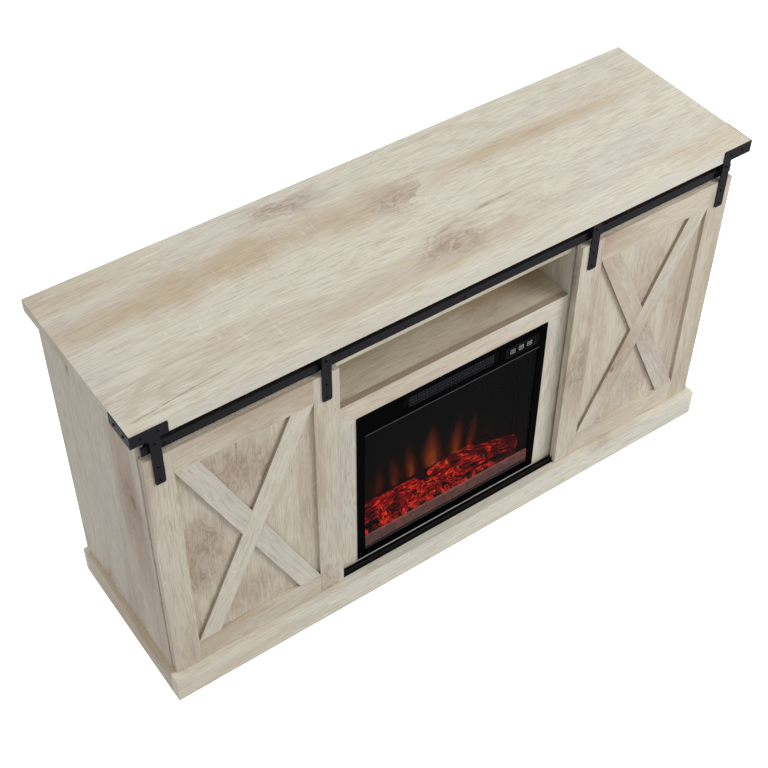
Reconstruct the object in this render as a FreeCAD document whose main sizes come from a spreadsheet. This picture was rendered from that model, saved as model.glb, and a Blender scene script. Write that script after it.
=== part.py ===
import FreeCAD, Part
import math
import os
import re

import Sketcher
from FreeCAD import Placement, Rotation, Vector

# A long, low cabinet in washed oak with an electric fire in the middle.  Two barn doors hang on
# rollers from a steel track under the top and cover the side bays; an open niche lies over the
# fire.  X runs along the cabinet, Y to the back, Z up.  The origin is on the floor, under the
# middle of the outer box.  Millimetres.
#
# Depths are given as a setback from the top's front edge, which stands at y = FRONT.

DIMENSIONS = {
    # outer sizes
    "TopLength": 1372,
    "TopDepth": 392,
    "TopThickness": 27,
    "OverallHeight": 777,
    "BodyLength": 1338,
    "BodyBack": 388,
    "BoardThickness": 16,
    "BackThickness": 5,
    "PanelSeat": 8,
    # plinth
    "PlinthLength": 1358,
    "PlinthHeight": 68,
    "PlinthProud": 5,
    "PlinthFrontDepth": 22,
    "PlinthBoard": 18,
    # setbacks and levels of the inner boards
    "SideSetback": 29,
    "FasciaSetback": 33,
    "FasciaThickness": 15,
    "FasciaStileInner": 222.5,
    "HeaderBottom": 671,
    "NicheFloor": 556,
    "NicheWidth": 554,
    "FloorTop": 75,
    "BayShelfTop": 411,
    "BayShelfSetback": 55,
    "ShelfPlay": 1,
    "PinRadius": 2.5,
    "PinPlay": 0.05,
    "PinDepth": 8,
    "PinRise": 64,
    "PinFrontSetback": 85,
    "PinRearSetback": 340,
    "CableHoleRadius": 25,
    "CableHoleLevel": 230,
    "NicheCableHoleLevel": 600,
    # doors
    "DoorGap": 556,
    "DoorWidth": 389,
    "DoorTop": 690,
    "DoorBottom": 70,
    "DoorSetback": 11,
    "DoorFrameThickness": 7,
    "DoorPanelThickness": 9,
    "StileWidth": 55,
    "DoorRailHeight": 59,
    "BraceWidth": 48,
    "GrooveWidth": 3.2,
    "GrooveDepth": 12,
    "GuideSetback": 22.5,
    "GuideFin": 2,
    "GuideFinTop": 77,
    "GuideFloorTop": 62,
    "GuideWall": 2,
    "GuideLength": 1300,
    # track and hangers
    "TrackSetback": 17,
    "TrackThickness": 4,
    "TrackTop": 718,
    "TrackHeight": 19,
    "TrackLength": 1326,
    "TrackScrewLevel": 706,
    "TrackScrewSpacing": 310,
    "SpacerTop": 713,
    "SpacerPlay": 1,
    "TrackScrewRadius": 3,
    "TrackScrewHead": 5,
    "TrackScrewBite": 12,
    "HangerWidth": 20,
    "HangerThickness": 3,
    "HangerTop": 741,
    "HangerBottom": 626,
    "HangerInset": 27.5,
    "HangerCorner": 4,
    "UpperScrewLevel": 668,
    "LowerScrewLevel": 635,
    "AxleLevel": 726,
    "AxleRadius": 3,
    "AxlePlay": 0.05,
    "AxleHead": 5,
    "AxleCollarRadius": 5,
    "RollerRadius": 11,
    "RollerGroove": 7.7,
    "RollerWidth": 8,
    "RollerFlange": 1.6,
    "RollerSetback": 15,
    "RollerPlay": 0.3,
    # screws
    "ScrewHead": 4.4,
    "ScrewRadius": 2,
    "ScrewBite": 12,
    "DoorScrewBite": 6,
    "ScrewPlay": 0.05,
    # corner brackets
    "BracketLeg": 70,
    "BracketThickness": 1.5,
    "BracketCorner": 3,
    "BracketNearScrew": 20,
    "BracketFarScrew": 51.5,
    # electric fire: face
    "InsertWidth": 459,
    "InsertTop": 507,
    "InsertProud": 2,
    "CollarWidth": 442,
    "CollarTop": 498,
    "CollarDepth": 12,
    "CollarWall": 2,
    "WindowWidth": 422,
    "WindowBottom": 106,
    "WindowTop": 449,
    "LipHeight": 3,
    "LipProud": 1.2,
    "GlassMargin": 7,
    "GlassThickness": 3,
    "GrilleLeft": -124,
    "GrilleRight": 114,
    "GrilleBottom": 462,
    "GrilleTop": 496,
    "GrilleThickness": 1.5,
    "GrilleMargin": 2.5,
    "SlotWidth": 3.2,
    "SlotHeight": 4.6,
    "SlotPitch": 6.4,
    "SlotRowPitch": 8,
    "PanelLeft": 125,
    "PanelRight": 211,
    "PanelBottom": 460,
    "PanelTop": 488,
    "ControlThickness": 3,
    "ControlRecess": 0.6,
    "KeyWidth": 15,
    "KeyHeight": 12,
    "KeyPlay": 0.4,
    "KeyPitch": 21,
    "KeyCentre": 164,
    "KeyLevel": 475,
    "KeyProud": 0.5,
    "KeyDepth": 2.6,
    # electric fire: box and inner parts
    "HousingDepth": 138,
    "SheetThickness": 1.2,
    "DividerLevel": 457,
    "VentWidth": 60,
    "VentHeight": 5,
    "VentPitch": 12,
    "ScreenSetback": 87,
    "ScreenThickness": 2,
    "FireWidth": 436,
    "RearLogRadius": 21,
    "RearLogLevel": 158,
    "RearLogSetback": 64.5,
    "FrontLogRadius": 15,
    "FrontLogLevel": 108,
    "FrontLogSetback": 60,
    "LogLength": 412,
    "LogLegRadius": 4,
    "LogLegSpread": 150,
    "RearLegSetback": 80,
    "FrontLegSetback": 52,
    "EmberSetback": 39,
    "EmberDepth": 5,
    "EmberTop": 126,
    "BoardDepth": 12,
    "LedSize": 5,
    "LedPitch": 34,
    "SpindleRadius": 3,
    "SpindleSetback": 125,
    "SpindleLevel": 150,
    "FinLength": 22,
    "FinHeight": 12,
    "FinPitch": 32,
    "FinThickness": 0.8,
    "MotorRadius": 20,
    "MotorLength": 18,
    "BlowerRadius": 14,
    "BlowerLength": 300,
    "BlowerSetback": 110,
    "BlowerLevel": 477,
    "BlowerShaft": 2.5,
    "BladeWidth": 4,
    "BladeThickness": 0.8,
    "HeaterLength": 200,
    "HeaterSetback": 60,
    "HeaterDepth": 14,
    "HeaterHeight": 30,
    "HeaterSlot": 3,
    "HeaterPitch": 8,
    "GlandRadius": 9,
    "GlandNeck": 4.5,
    "GlandBore": 3.5,
    "GlandLength": 14,
    "GlandOffset": 170,
    "GlandLevel": 112,
}

SHEET = "Dims"
FRONT = "(PlinthProud - TopDepth) / 2"
DOOR_FRONT = f"{FRONT} + DoorSetback"
DOOR_BACK = f"{DOOR_FRONT} + DoorFrameThickness + DoorPanelThickness"
FASCIA = f"{FRONT} + FasciaSetback"
BACK = f"{FRONT} + BodyBack"
TOP_UNDERSIDE = "OverallHeight - TopThickness"
INSERT_FACE = f"{FASCIA} - InsertProud"
HOUSING_FRONT = f"{FASCIA} + CollarDepth"
HOUSING_BACK = f"{HOUSING_FRONT} + HousingDepth"
HOUSING_FLOOR = "FloorTop + CollarWall + SheetThickness"

SIDES = {"left": -1, "right": 1}
DIRECTIONS = {
    "+X": Vector(1, 0, 0),
    "-X": Vector(-1, 0, 0),
    "+Y": Vector(0, 1, 0),
    "-Y": Vector(0, -1, 0),
    "+Z": Vector(0, 0, 1),
}

PIN_STEPS = (-1, 0, 1)
TRACK_SCREWS = (-2, -1, 0, 1, 2)
GRILLE_ROWS = (-1.5, -0.5, 0.5, 1.5)
GRILLE_COLUMNS = 32
LOG_STATIONS = 7
FIN_COUNT = 12
BLADE_COUNT = 16
LED_COUNT = 11
HEATER_SLOTS = 23
VENT_COUNT = 8

# How a log's size and height wander along it, as shares of its radius.
LOG_SWELL = 0.1
LOG_SWELL_WAVES = 1.5
LOG_LIFT = 0.3

ALMOST_PARALLEL = 0.999

doc = FreeCAD.newDocument("ElectricFireplace")
nodes = {}


# ---------------------------------------------------------------- small helpers

def make_sheet():
    """Spreadsheet of the driving dimensions, one alias for each."""
    sheet = doc.addObject("Spreadsheet::Sheet", SHEET)
    for row, (alias, size) in enumerate(DIMENSIONS.items(), start=1):
        sheet.set(f"A{row}", alias)
        sheet.set(f"B{row}", str(size))
        sheet.setAlias(f"B{row}", alias)
    doc.recompute()
    return sheet


def on_sheet(text):
    """Point each dimension named in an expression at the sheet."""
    return re.sub(r"\b([A-Z][A-Za-z]+)\b", SHEET + r".\1", text)


def size_of(text):
    """Number that an expression gives with the sheet's present values."""
    return float(sheet.evalExpression(on_sheet(text)))


def bind(item, **properties):
    for name, text in properties.items():
        item.setExpression(name, on_sheet(text))


def place(item, corner, rotation=Rotation()):
    """Put an object at a corner given as three expressions."""
    item.Placement = Placement(Vector(), rotation)
    for axis, text in zip("xyz", corner):
        item.setExpression(f"Placement.Base.{axis}", on_sheet(text))
    return item


def keep(item, name):
    """Count an object as a finished piece of the cabinet."""
    item.Label = name
    nodes[name] = item
    return item


def between(sign, inner, outer):
    """Low and high X of a span on the left (-1) or right (+1) half."""
    return (inner, outer) if sign > 0 else (f"-({outer})", f"-({inner})")


def signed(sign, text):
    return f"({sign}) * ({text})"


# ---------------------------------------------------------------- primitives

def box(name, across, depth, height):
    """Box between three pairs of expressions: X, Y and Z."""
    item = doc.addObject("Part::Box", name)
    spans = (across, depth, height)
    length, width, tall = (f"({high}) - ({low})" for low, high in spans)
    bind(item, Length=length, Width=width, Height=tall)
    return place(item, [low for low, high in spans])


def cylinder(name, radius, length, direction, start):
    item = doc.addObject("Part::Cylinder", name)
    bind(item, Radius=radius, Height=length)
    return place(item, start, Rotation(Vector(0, 0, 1), DIRECTIONS[direction]))


def cone(name, radii, length, direction, start):
    item = doc.addObject("Part::Cone", name)
    bind(item, Radius1=radii[0], Radius2=radii[1], Height=length)
    return place(item, start, Rotation(Vector(0, 0, 1), DIRECTIONS[direction]))


def dome(name, radius, direction, centre):
    """Upper half-height cap of a sphere, flat side towards its centre."""
    item = doc.addObject("Part::Sphere", name)
    bind(item, Radius=radius)
    item.Angle1 = 30
    item.Angle2 = 90
    return place(item, centre, Rotation(Vector(0, 0, 1), DIRECTIONS[direction]))


def group(name, items):
    """Separate solids that count as one object."""
    item = doc.addObject("Part::Compound", name)
    item.Links = items
    return item


def fuse(name, items):
    item = doc.addObject("Part::MultiFuse", name)
    item.Shapes = items
    return item


def cut(name, base, tools):
    item = doc.addObject("Part::Cut", name)
    item.Base = base
    item.Tool = tools[0] if len(tools) == 1 else group(f"{name}_tools", tools)
    return item


def dome_screw(name, direction, surface, bite):
    """Dome-headed screw: surface is the point where its head sits, direction points outwards."""
    axis = "xyz".index(direction[1].lower())
    sign = 1 if direction[0] == "+" else -1
    inward = ("-" if sign > 0 else "+") + direction[1]
    centre = list(surface)
    centre[axis] = f"{surface[axis]} - {sign} * ScrewHead / 2"
    head = dome(f"{name}_head", "ScrewHead", direction, centre)
    shank = cylinder(f"{name}_shank", "ScrewRadius", bite, inward, surface)
    return fuse(name, [head, shank])


def pilot(name, direction, surface, depth):
    """Hole for a screw, drilled from a surface."""
    return cylinder(name, "ScrewRadius + ScrewPlay", depth, direction, surface)


# ---------------------------------------------------------------- sketched bodies

def origin_plane(body, role):
    return next(plane for plane in body.Origin.OriginFeatures if plane.Role == role)


def sketch_on(body, role, name):
    sketch = body.newObject("Sketcher::SketchObject", name)
    sketch.AttachmentSupport = [(origin_plane(body, role), "")]
    sketch.MapMode = "FlatFace"
    return sketch


def fix_point(sketch, edge, end, point):
    """Tie one end of an edge to the sketch's origin by two bound distances."""
    for kind, text in zip(("DistanceX", "DistanceY"), point):
        rule = Sketcher.Constraint(kind, -1, 1, edge, end, size_of(text))
        number = sketch.addConstraint(rule)
        sketch.setExpression(f"Constraints[{number}]", on_sheet(text))


def polygon(sketch, corners):
    """Closed outline through corners given as pairs of expressions."""
    points = [Vector(size_of(across), size_of(up), 0) for across, up in corners]
    count = len(points)
    first = sketch.GeometryCount
    for number, point in enumerate(points):
        sketch.addGeometry(Part.LineSegment(point, points[(number + 1) % count]), False)
    for number in range(count):
        following = first + (number + 1) % count
        sketch.addConstraint(Sketcher.Constraint("Coincident", first + number, 2, following, 1))
    for number, corner in enumerate(corners):
        fix_point(sketch, first + number, 1, corner)


def rectangle(low, high):
    """Corners of an upright rectangle between two points."""
    return [low, (high[0], low[1]), high, (low[0], high[1])]


def circle(sketch, centre, radius):
    middle = Vector(size_of(centre[0]), size_of(centre[1]), 0)
    edge = sketch.GeometryCount
    sketch.addGeometry(Part.Circle(middle, Vector(0, 0, 1), size_of(radius)), False)
    fix_point(sketch, edge, 3, centre)
    number = sketch.addConstraint(Sketcher.Constraint("Radius", edge, size_of(radius)))
    sketch.setExpression(f"Constraints[{number}]", on_sheet(radius))


def prism(name, role, corners, depth, start=("0", "0", "0")):
    """Body padded from one outline, always towards the positive axis."""
    body = doc.addObject("PartDesign::Body", name)
    sketch = sketch_on(body, role, f"{name}_outline")
    polygon(sketch, corners)
    pad = body.newObject("PartDesign::Pad", f"{name}_pad")
    pad.Profile = sketch
    pad.Reversed = role == "XZ_Plane"
    bind(pad, Length=depth)
    doc.recompute()
    return place(body, start)


def pocket_through(body, sketch, name):
    """Pocket both ways through a body; stops the build if nothing is removed."""
    doc.recompute()
    before = body.Shape.Volume
    pocket = body.newObject("PartDesign::Pocket", name)
    pocket.Profile = sketch
    pocket.SideType = "Two sides"
    pocket.Type = "ThroughAll"
    pocket.Type2 = "ThroughAll"
    doc.recompute()
    if body.Shape.Volume >= before:
        raise RuntimeError(f"{name} cuts nothing")
    return pocket


def holes_through(body, role, name, centres, radius):
    sketch = sketch_on(body, role, f"{name}_sketch")
    for centre in centres:
        circle(sketch, centre, radius)
    return pocket_through(body, sketch, name)


def round_edges(body, name, direction, radius, chosen):
    """Fillet the edges that run along one direction and whose middle passes a test."""
    doc.recompute()
    tip = body.Tip
    names = []
    for number, edge in enumerate(tip.Shape.Edges, start=1):
        if not isinstance(edge.Curve, Part.Line):
            continue
        if abs(edge.Curve.Direction.dot(direction)) > ALMOST_PARALLEL and chosen(edge.CenterOfMass):
            names.append(f"Edge{number}")
    fillet = body.newObject("PartDesign::Fillet", name)
    fillet.Base = (tip, names)
    bind(fillet, Radius=radius)
    doc.recompute()
    return fillet


def revolved(name, role, corners):
    """Body turned about the horizontal axis of its sketch."""
    body = doc.addObject("PartDesign::Body", name)
    sketch = sketch_on(body, role, f"{name}_outline")
    polygon(sketch, corners)
    turn = body.newObject("PartDesign::Revolution", f"{name}_turn")
    turn.Profile = sketch
    turn.ReferenceAxis = (sketch, ["H_Axis"])
    turn.Angle = 360
    doc.recompute()
    return body


# ---------------------------------------------------------------- cabinet boards

def make_top():
    """Thick top with pilot holes for the corner brackets' screws."""
    slab = box("top_board", ("-TopLength / 2", "TopLength / 2"),
               (FRONT, f"{FRONT} + TopDepth"), (TOP_UNDERSIDE, "OverallHeight"))
    holes = []
    for name, direction, surface in bracket_screw_places():
        inward = ("-" if direction[0] == "+" else "+") + direction[1]
        holes.append(pilot(f"{name}_pilot", inward, surface, "ScrewBite"))
    keep(cut("top_drilled", slab, holes), "top_panel")


def bracket_screw_places():
    """Name, outward direction and seat of each corner bracket screw."""
    level = f"{TOP_UNDERSIDE} + TopThickness / 2"
    for side, sign in SIDES.items():
        for reach in ("BracketNearScrew", "BracketFarScrew"):
            across = signed(sign, f"TopLength / 2 - {reach}")
            yield (f"{side}_front_{reach}", "-Y", [across, f"{FRONT} - BracketThickness", level])
            edge = signed(sign, "TopLength / 2 + BracketThickness")
            outward = "+X" if sign > 0 else "-X"
            yield (f"{side}_side_{reach}", outward, [edge, f"{FRONT} + {reach}", level])


def pin_places(steps):
    """Setback and level of the shelf pins' places, in two columns."""
    pin_level = "BayShelfTop - BoardThickness - PinRadius"
    for setback in ("PinFrontSetback", "PinRearSetback"):
        for step in steps:
            yield setback, f"{pin_level} + {step} * PinRise"


def drill_pin_holes(name, board, face, direction):
    """Blind holes for the shelf pins in a board's bay side."""
    holes = []
    for number, (setback, level) in enumerate(pin_places(PIN_STEPS)):
        start = (face, f"{FRONT} + {setback}", level)
        holes.append(cylinder(f"{name}_pin_hole_{number}", "PinRadius", "PinDepth", direction, start))
    return cut(f"{name}_drilled", board, holes)


def make_sides():
    for side, sign in SIDES.items():
        across = between(sign, "BodyLength / 2 - BoardThickness", "BodyLength / 2")
        board = box(f"{side}_side_board", across, (f"{FRONT} + SideSetback", BACK),
                    ("PlinthHeight", TOP_UNDERSIDE))
        inner = signed(sign, "BodyLength / 2 - BoardThickness")
        drilled = drill_pin_holes(f"{side}_side", board, inner, "+X" if sign > 0 else "-X")
        keep(drilled, f"{side}_side_panel")


def make_partitions():
    """Full-height walls of the niche, notched at the front for the header."""
    header_back = "FasciaSetback + FasciaThickness"
    rear = "BodyBack - BackThickness"
    outline = [
        ("FasciaSetback", "FloorTop"),
        (rear, "FloorTop"),
        (rear, TOP_UNDERSIDE),
        (header_back, TOP_UNDERSIDE),
        (header_back, "HeaderBottom"),
        ("FasciaSetback", "HeaderBottom"),
    ]
    for side, sign in SIDES.items():
        start = between(sign, "NicheWidth / 2", "NicheWidth / 2 + BoardThickness")[0]
        board = prism(f"{side}_partition_board", "YZ_Plane", outline, "BoardThickness",
                      (start, FRONT, "0"))
        outer = signed(sign, "NicheWidth / 2 + BoardThickness")
        drilled = drill_pin_holes(f"{side}_partition", board, outer, "-X" if sign > 0 else "+X")
        keep(drilled, f"{side}_partition")


def make_floor_and_shelves():
    inner = "BodyLength / 2 - BoardThickness"
    keep(box("floor_board", (f"-({inner})", inner), (FASCIA, f"{BACK} - PlinthBoard"),
             ("FloorTop - BoardThickness", "FloorTop")), "bottom_panel")
    keep(box("niche_board", ("-NicheWidth / 2", "NicheWidth / 2"),
             (f"{FASCIA} + FasciaThickness", f"{BACK} - BackThickness"),
             ("NicheFloor - BoardThickness", "NicheFloor")), "niche_shelf")
    for side, sign in SIDES.items():
        across = between(sign, "NicheWidth / 2 + BoardThickness + ShelfPlay", f"{inner} - ShelfPlay")
        keep(box(f"{side}_shelf_board", across,
                 (f"{FRONT} + BayShelfSetback", f"{BACK} - BackThickness - ShelfPlay"),
                 ("BayShelfTop - BoardThickness", "BayShelfTop")), f"{side}_bay_shelf")


def make_shelf_pins():
    pins = []
    for side, sign in SIDES.items():
        walls = {
            "outer": ("BodyLength / 2 - BoardThickness + PinDepth", "-X" if sign > 0 else "+X"),
            "inner": ("NicheWidth / 2 + BoardThickness - PinDepth", "+X" if sign > 0 else "-X"),
        }
        for wall, (reach, direction) in walls.items():
            for number, (setback, level) in enumerate(pin_places((0,))):
                start = (signed(sign, reach), f"{FRONT} + {setback}", level)
                pins.append(cylinder(f"{side}_{wall}_pin_{number}", "PinRadius - PinPlay",
                                     "2 * PinDepth", direction, start))
    keep(group("pins", pins), "shelf_pins")


def make_fascia():
    """Frame of the fire's opening and the header that carries the track."""
    depth = (FASCIA, f"{FASCIA} + FasciaThickness")
    keep(box("fascia_top", ("-NicheWidth / 2", "NicheWidth / 2"), depth,
             ("CollarTop + CollarWall", "NicheFloor")), "fascia_top_rail")
    stiles = [box(f"{side}_fascia_stile", between(sign, "FasciaStileInner", "NicheWidth / 2"),
                  depth, ("FloorTop", "CollarTop + CollarWall")) for side, sign in SIDES.items()]
    keep(group("stiles", stiles), "fascia_stiles")
    inner = "BodyLength / 2 - BoardThickness"
    board = box("header_board", (f"-({inner})", inner), depth, ("HeaderBottom", TOP_UNDERSIDE))
    holes = [cylinder(f"header_hole_{number}", "TrackScrewRadius + ScrewPlay", "TrackScrewBite",
                      "+Y", (f"{number} * TrackScrewSpacing", FASCIA, "TrackScrewLevel"))
             for number in TRACK_SCREWS]
    keep(cut("header_drilled", board, holes), "header_rail")


def make_plinth():
    half = "PlinthLength / 2"
    level = ("0", "PlinthHeight")
    front_back = f"{FRONT} - PlinthProud + PlinthFrontDepth"
    rear_front = f"{BACK} - PlinthBoard"
    keep(box("plinth_front", (f"-{half}", half), (f"{FRONT} - PlinthProud", front_back), level),
         "plinth_front_board")
    keep(box("plinth_rear", (f"-{half}", half), (rear_front, BACK), level), "plinth_rear_board")
    boards = [box(f"{side}_plinth", between(sign, f"{half} - PlinthBoard", half),
                  (front_back, rear_front), level) for side, sign in SIDES.items()]
    keep(group("plinth_sides", boards), "plinth_side_boards")


def make_backs():
    """Thin back panels of the bays and the niche, each with a round cable hole."""
    seat = "NicheWidth / 2 + PanelSeat"
    inner = "BodyLength / 2 - BoardThickness"
    bays = [back_panel(side, between(sign, seat, inner), "PlinthHeight", "CableHoleLevel")
            for side, sign in SIDES.items()]
    keep(group("bay_backs", bays), "bay_back_panels")
    keep(back_panel("niche", (f"-({seat})", seat), "NicheFloor - BoardThickness", "NicheCableHoleLevel"),
         "niche_back_panel")


def back_panel(name, across, bottom, hole_level):
    depth = (f"{BACK} - BackThickness", BACK)
    panel = box(f"{name}_back_sheet", across, depth, (bottom, TOP_UNDERSIDE))
    centre = f"(({across[0]}) + ({across[1]})) / 2"
    hole = cylinder(f"{name}_cable_hole", "CableHoleRadius", "BackThickness", "+Y",
                    (centre, depth[0], hole_level))
    return cut(f"{name}_back_cut", panel, [hole])


# ---------------------------------------------------------------- track and corner brackets

def make_track():
    """Flat steel bar and the spacer behind it, held to the header by countersunk screws.

    The spacer is lower than the bar, so the rollers' rear flanges pass over it, and it ends
    short of the side panels.
    """
    face = f"{FRONT} + TrackSetback"
    bottom = "TrackTop - TrackHeight"
    bar = box("track_bar", ("-TrackLength / 2", "TrackLength / 2"),
              (face, f"{face} + TrackThickness"), (bottom, "TrackTop"))
    spacer_end = "BodyLength / 2 - BoardThickness - SpacerPlay"
    spacer = box("spacer_bar", (f"-({spacer_end})", spacer_end),
                 (f"{face} + TrackThickness", FASCIA), (bottom, "SpacerTop"))
    bar_holes = []
    spacer_holes = []
    screws = []
    for number in TRACK_SCREWS:
        start = (f"{number} * TrackScrewSpacing", face, "TrackScrewLevel")
        sink = ("TrackScrewHead", "TrackScrewRadius")
        loose = ("TrackScrewHead + ScrewPlay", "TrackScrewRadius + ScrewPlay")
        sunk = "TrackThickness / 2"
        bar_holes.append(cone(f"track_sink_{number}", loose, sunk, "+Y", start))
        for name, holes in (("track", bar_holes), ("spacer", spacer_holes)):
            holes.append(cylinder(f"{name}_hole_{number}", loose[1], "FasciaSetback - TrackSetback",
                                  "+Y", start))
        head = cone(f"track_screw_head_{number}", sink, sunk, "+Y", start)
        shank = cylinder(f"track_screw_shank_{number}", "TrackScrewRadius",
                         "FasciaSetback - TrackSetback + TrackScrewBite", "+Y", start)
        screws.append(fuse(f"track_screw_{number}", [head, shank]))
    keep(cut("track_drilled", bar, bar_holes), "track_rail")
    keep(cut("spacer_drilled", spacer, spacer_holes), "track_spacer")
    keep(group("track_screw_set", screws), "track_screws")


def make_guide():
    """Black channel behind the plinth board, with the upright fin that steers the doors."""
    near = "PlinthFrontDepth - PlinthProud"
    far = "FasciaSetback"
    fin_front = "GuideSetback - GuideFin / 2"
    fin_back = "GuideSetback + GuideFin / 2"
    rear_top = "FloorTop - 2 * GuideWall"
    outline = [
        (near, "GuideFloorTop - GuideWall"),
        (far, "GuideFloorTop - GuideWall"),
        (far, rear_top),
        (f"{far} - GuideWall", rear_top),
        (f"{far} - GuideWall", "GuideFloorTop"),
        (fin_back, "GuideFloorTop"),
        (fin_back, "GuideFinTop"),
        (fin_front, "GuideFinTop"),
        (fin_front, "GuideFloorTop"),
        (near, "GuideFloorTop"),
    ]
    keep(prism("guide", "YZ_Plane", outline, "GuideLength", ("-GuideLength / 2", FRONT, "0")),
         "door_guide_channel")


def make_corner_brackets():
    """Folded strap round each front corner of the top."""
    brackets = []
    for side, sign in SIDES.items():
        inner = f"{sign} * TopLength / 2"
        outer = f"{sign} * (TopLength / 2 + BracketThickness)"
        end = f"{sign} * (TopLength / 2 - BracketLeg)"
        outline = [
            (outer, "-BracketThickness"),
            (end, "-BracketThickness"),
            (end, "0"),
            (inner, "0"),
            (inner, "BracketLeg"),
            (outer, "BracketLeg"),
        ]
        body = prism(f"{side}_bracket", "XY_Plane", outline, "TopThickness",
                     ("0", FRONT, TOP_UNDERSIDE))
        reaches = ("BracketNearScrew", "BracketFarScrew")
        middle = "TopThickness / 2"
        front_holes = [(f"{sign} * (TopLength / 2 - {reach})", middle) for reach in reaches]
        side_holes = [(reach, middle) for reach in reaches]
        radius = "ScrewRadius + ScrewPlay"
        holes_through(body, "XZ_Plane", f"{side}_bracket_front_holes", front_holes, radius)
        holes_through(body, "YZ_Plane", f"{side}_bracket_side_holes", side_holes, radius)
        past_leg_end = size_of("TopLength / 2 - BracketLeg + BracketThickness")
        round_edges(body, f"{side}_bracket_ends", Vector(0, 1, 0), "BracketCorner",
                    lambda point: abs(point.x) < past_leg_end)
        brackets.append(body)
    keep(group("bracket_pair", brackets), "corner_brackets")
    screws = [dome_screw(f"{name}_screw", direction, surface, "ScrewBite")
              for name, direction, surface in bracket_screw_places()]
    keep(group("bracket_screw_set", screws), "bracket_screws")


# ---------------------------------------------------------------- doors

def door_middle(sign):
    return signed(sign, "(DoorGap + DoorWidth) / 2")


def hanger_places(sign):
    """X of a door's two hangers, outer first."""
    for name, reach in (("outer", "DoorWidth / 2 - HangerInset"), ("inner", "HangerInset - DoorWidth / 2")):
        yield name, f"{door_middle(sign)} + {signed(sign, reach)}"


def make_door_panel(side, sign):
    """Backing board with the groove that rides over the guide fin."""
    middle = door_middle(sign)
    near = f"{DOOR_FRONT} + DoorFrameThickness"
    board = box(f"{side}_door_board", (f"{middle} - DoorWidth / 2", f"{middle} + DoorWidth / 2"),
                (near, DOOR_BACK), ("DoorBottom", "DoorTop"))
    groove = box(f"{side}_door_groove", (f"{middle} - DoorWidth / 2", f"{middle} + DoorWidth / 2"),
                 (f"{FRONT} + GuideSetback - GrooveWidth / 2", f"{FRONT} + GuideSetback + GrooveWidth / 2"),
                 ("DoorBottom", "DoorBottom + GrooveDepth"))
    keep(cut(f"{side}_door_grooved", board, [groove]), f"{side}_door_panel")


def make_door_frame(side, sign):
    """Two stiles and two rails laid on the backing board."""
    middle = door_middle(sign)
    depth = (DOOR_FRONT, f"{DOOR_FRONT} + DoorFrameThickness")
    half = "DoorWidth / 2"
    stiles = []
    for edge in (-1, 1):
        low, high = between(edge, f"{half} - StileWidth", half)
        stiles.append(box(f"{side}_stile_{edge}", (f"{middle} + {low}", f"{middle} + {high}"),
                          depth, ("DoorBottom", "DoorTop")))
    pilots = [pilot(f"{side}_{hanger}_pilot_{level}", "+Y", (across, DOOR_FRONT, level),
                    "DoorScrewBite")
              for hanger, across in hanger_places(sign)
              for level in ("UpperScrewLevel", "LowerScrewLevel")]
    keep(cut(f"{side}_stiles_drilled", group(f"{side}_stile_pair", stiles), pilots),
         f"{side}_door_stiles")
    inner = f"{half} - StileWidth"
    across = (f"{middle} - ({inner})", f"{middle} + {inner}")
    rails = [
        box(f"{side}_lower_rail", across, depth, ("DoorBottom", "DoorBottom + DoorRailHeight")),
        box(f"{side}_upper_rail", across, depth, ("DoorTop - DoorRailHeight", "DoorTop")),
    ]
    keep(group(f"{side}_rail_pair", rails), f"{side}_door_rails")


def make_door_braces(side, sign):
    """X brace: one long bar, and the crossing bar in two halves that meet it."""
    reach = "(DoorWidth / 2 - StileWidth)"
    rise = "((DoorTop - DoorBottom) / 2 - DoorRailHeight)"
    run = f"(2 * {reach} - BraceWidth)"
    start = (door_middle(sign), DOOR_FRONT, "(DoorTop + DoorBottom) / 2")
    long_bar = [
        (f"-{reach}", f"-{rise}"),
        (f"-{reach} + BraceWidth", f"-{rise}"),
        (reach, rise),
        (f"{reach} - BraceWidth", rise),
    ]
    keep(prism(f"{side}_long_bar", "XZ_Plane", long_bar, "DoorFrameThickness", start),
         f"{side}_long_brace")
    upper_half = [
        (f"-{reach}", rise),
        ("-BraceWidth / 2", "0"),
        ("0", f"{rise} * BraceWidth / {run}"),
        (f"-{reach} + BraceWidth", rise),
    ]
    lower_half = [(f"-({across})", f"-({up})") for across, up in upper_half]
    halves = [prism(f"{side}_{name}_bar", "XZ_Plane", outline, "DoorFrameThickness", start)
              for name, outline in (("upper", upper_half), ("lower", lower_half))]
    keep(group(f"{side}_bar_pair", halves), f"{side}_short_braces")


def make_hangers(side, sign):
    """Black straps that carry the door, with the bolts that hold them."""
    half = "HangerWidth / 2"
    strap = rectangle((f"-{half}", "HangerBottom"), (half, "HangerTop"))
    seat = f"{DOOR_FRONT} - HangerThickness"
    straps = []
    bolts = []
    for hanger, across in hanger_places(sign):
        name = f"{side}_{hanger}"
        body = prism(f"{name}_strap", "XZ_Plane", strap, "HangerThickness", (across, seat, "0"))
        levels = [("0", "UpperScrewLevel"), ("0", "LowerScrewLevel")]
        holes_through(body, "XZ_Plane", f"{name}_screw_holes", levels, "ScrewRadius + ScrewPlay")
        holes_through(body, "XZ_Plane", f"{name}_axle_hole", [("0", "AxleLevel")],
                      "AxleRadius + AxlePlay")
        round_edges(body, f"{name}_corners", Vector(0, 1, 0), "HangerCorner", lambda point: True)
        straps.append(body)
        for level in ("UpperScrewLevel", "LowerScrewLevel"):
            bolts.append(dome_screw(f"{name}_{level}_screw", "-Y", [across, seat, level],
                                    "HangerThickness + DoorScrewBite"))
        bolts.append(make_axle(name, across, seat))
    keep(group(f"{side}_strap_pair", straps), f"{side}_hangers")
    keep(group(f"{side}_bolt_set", bolts), f"{side}_hanger_bolts")


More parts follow.
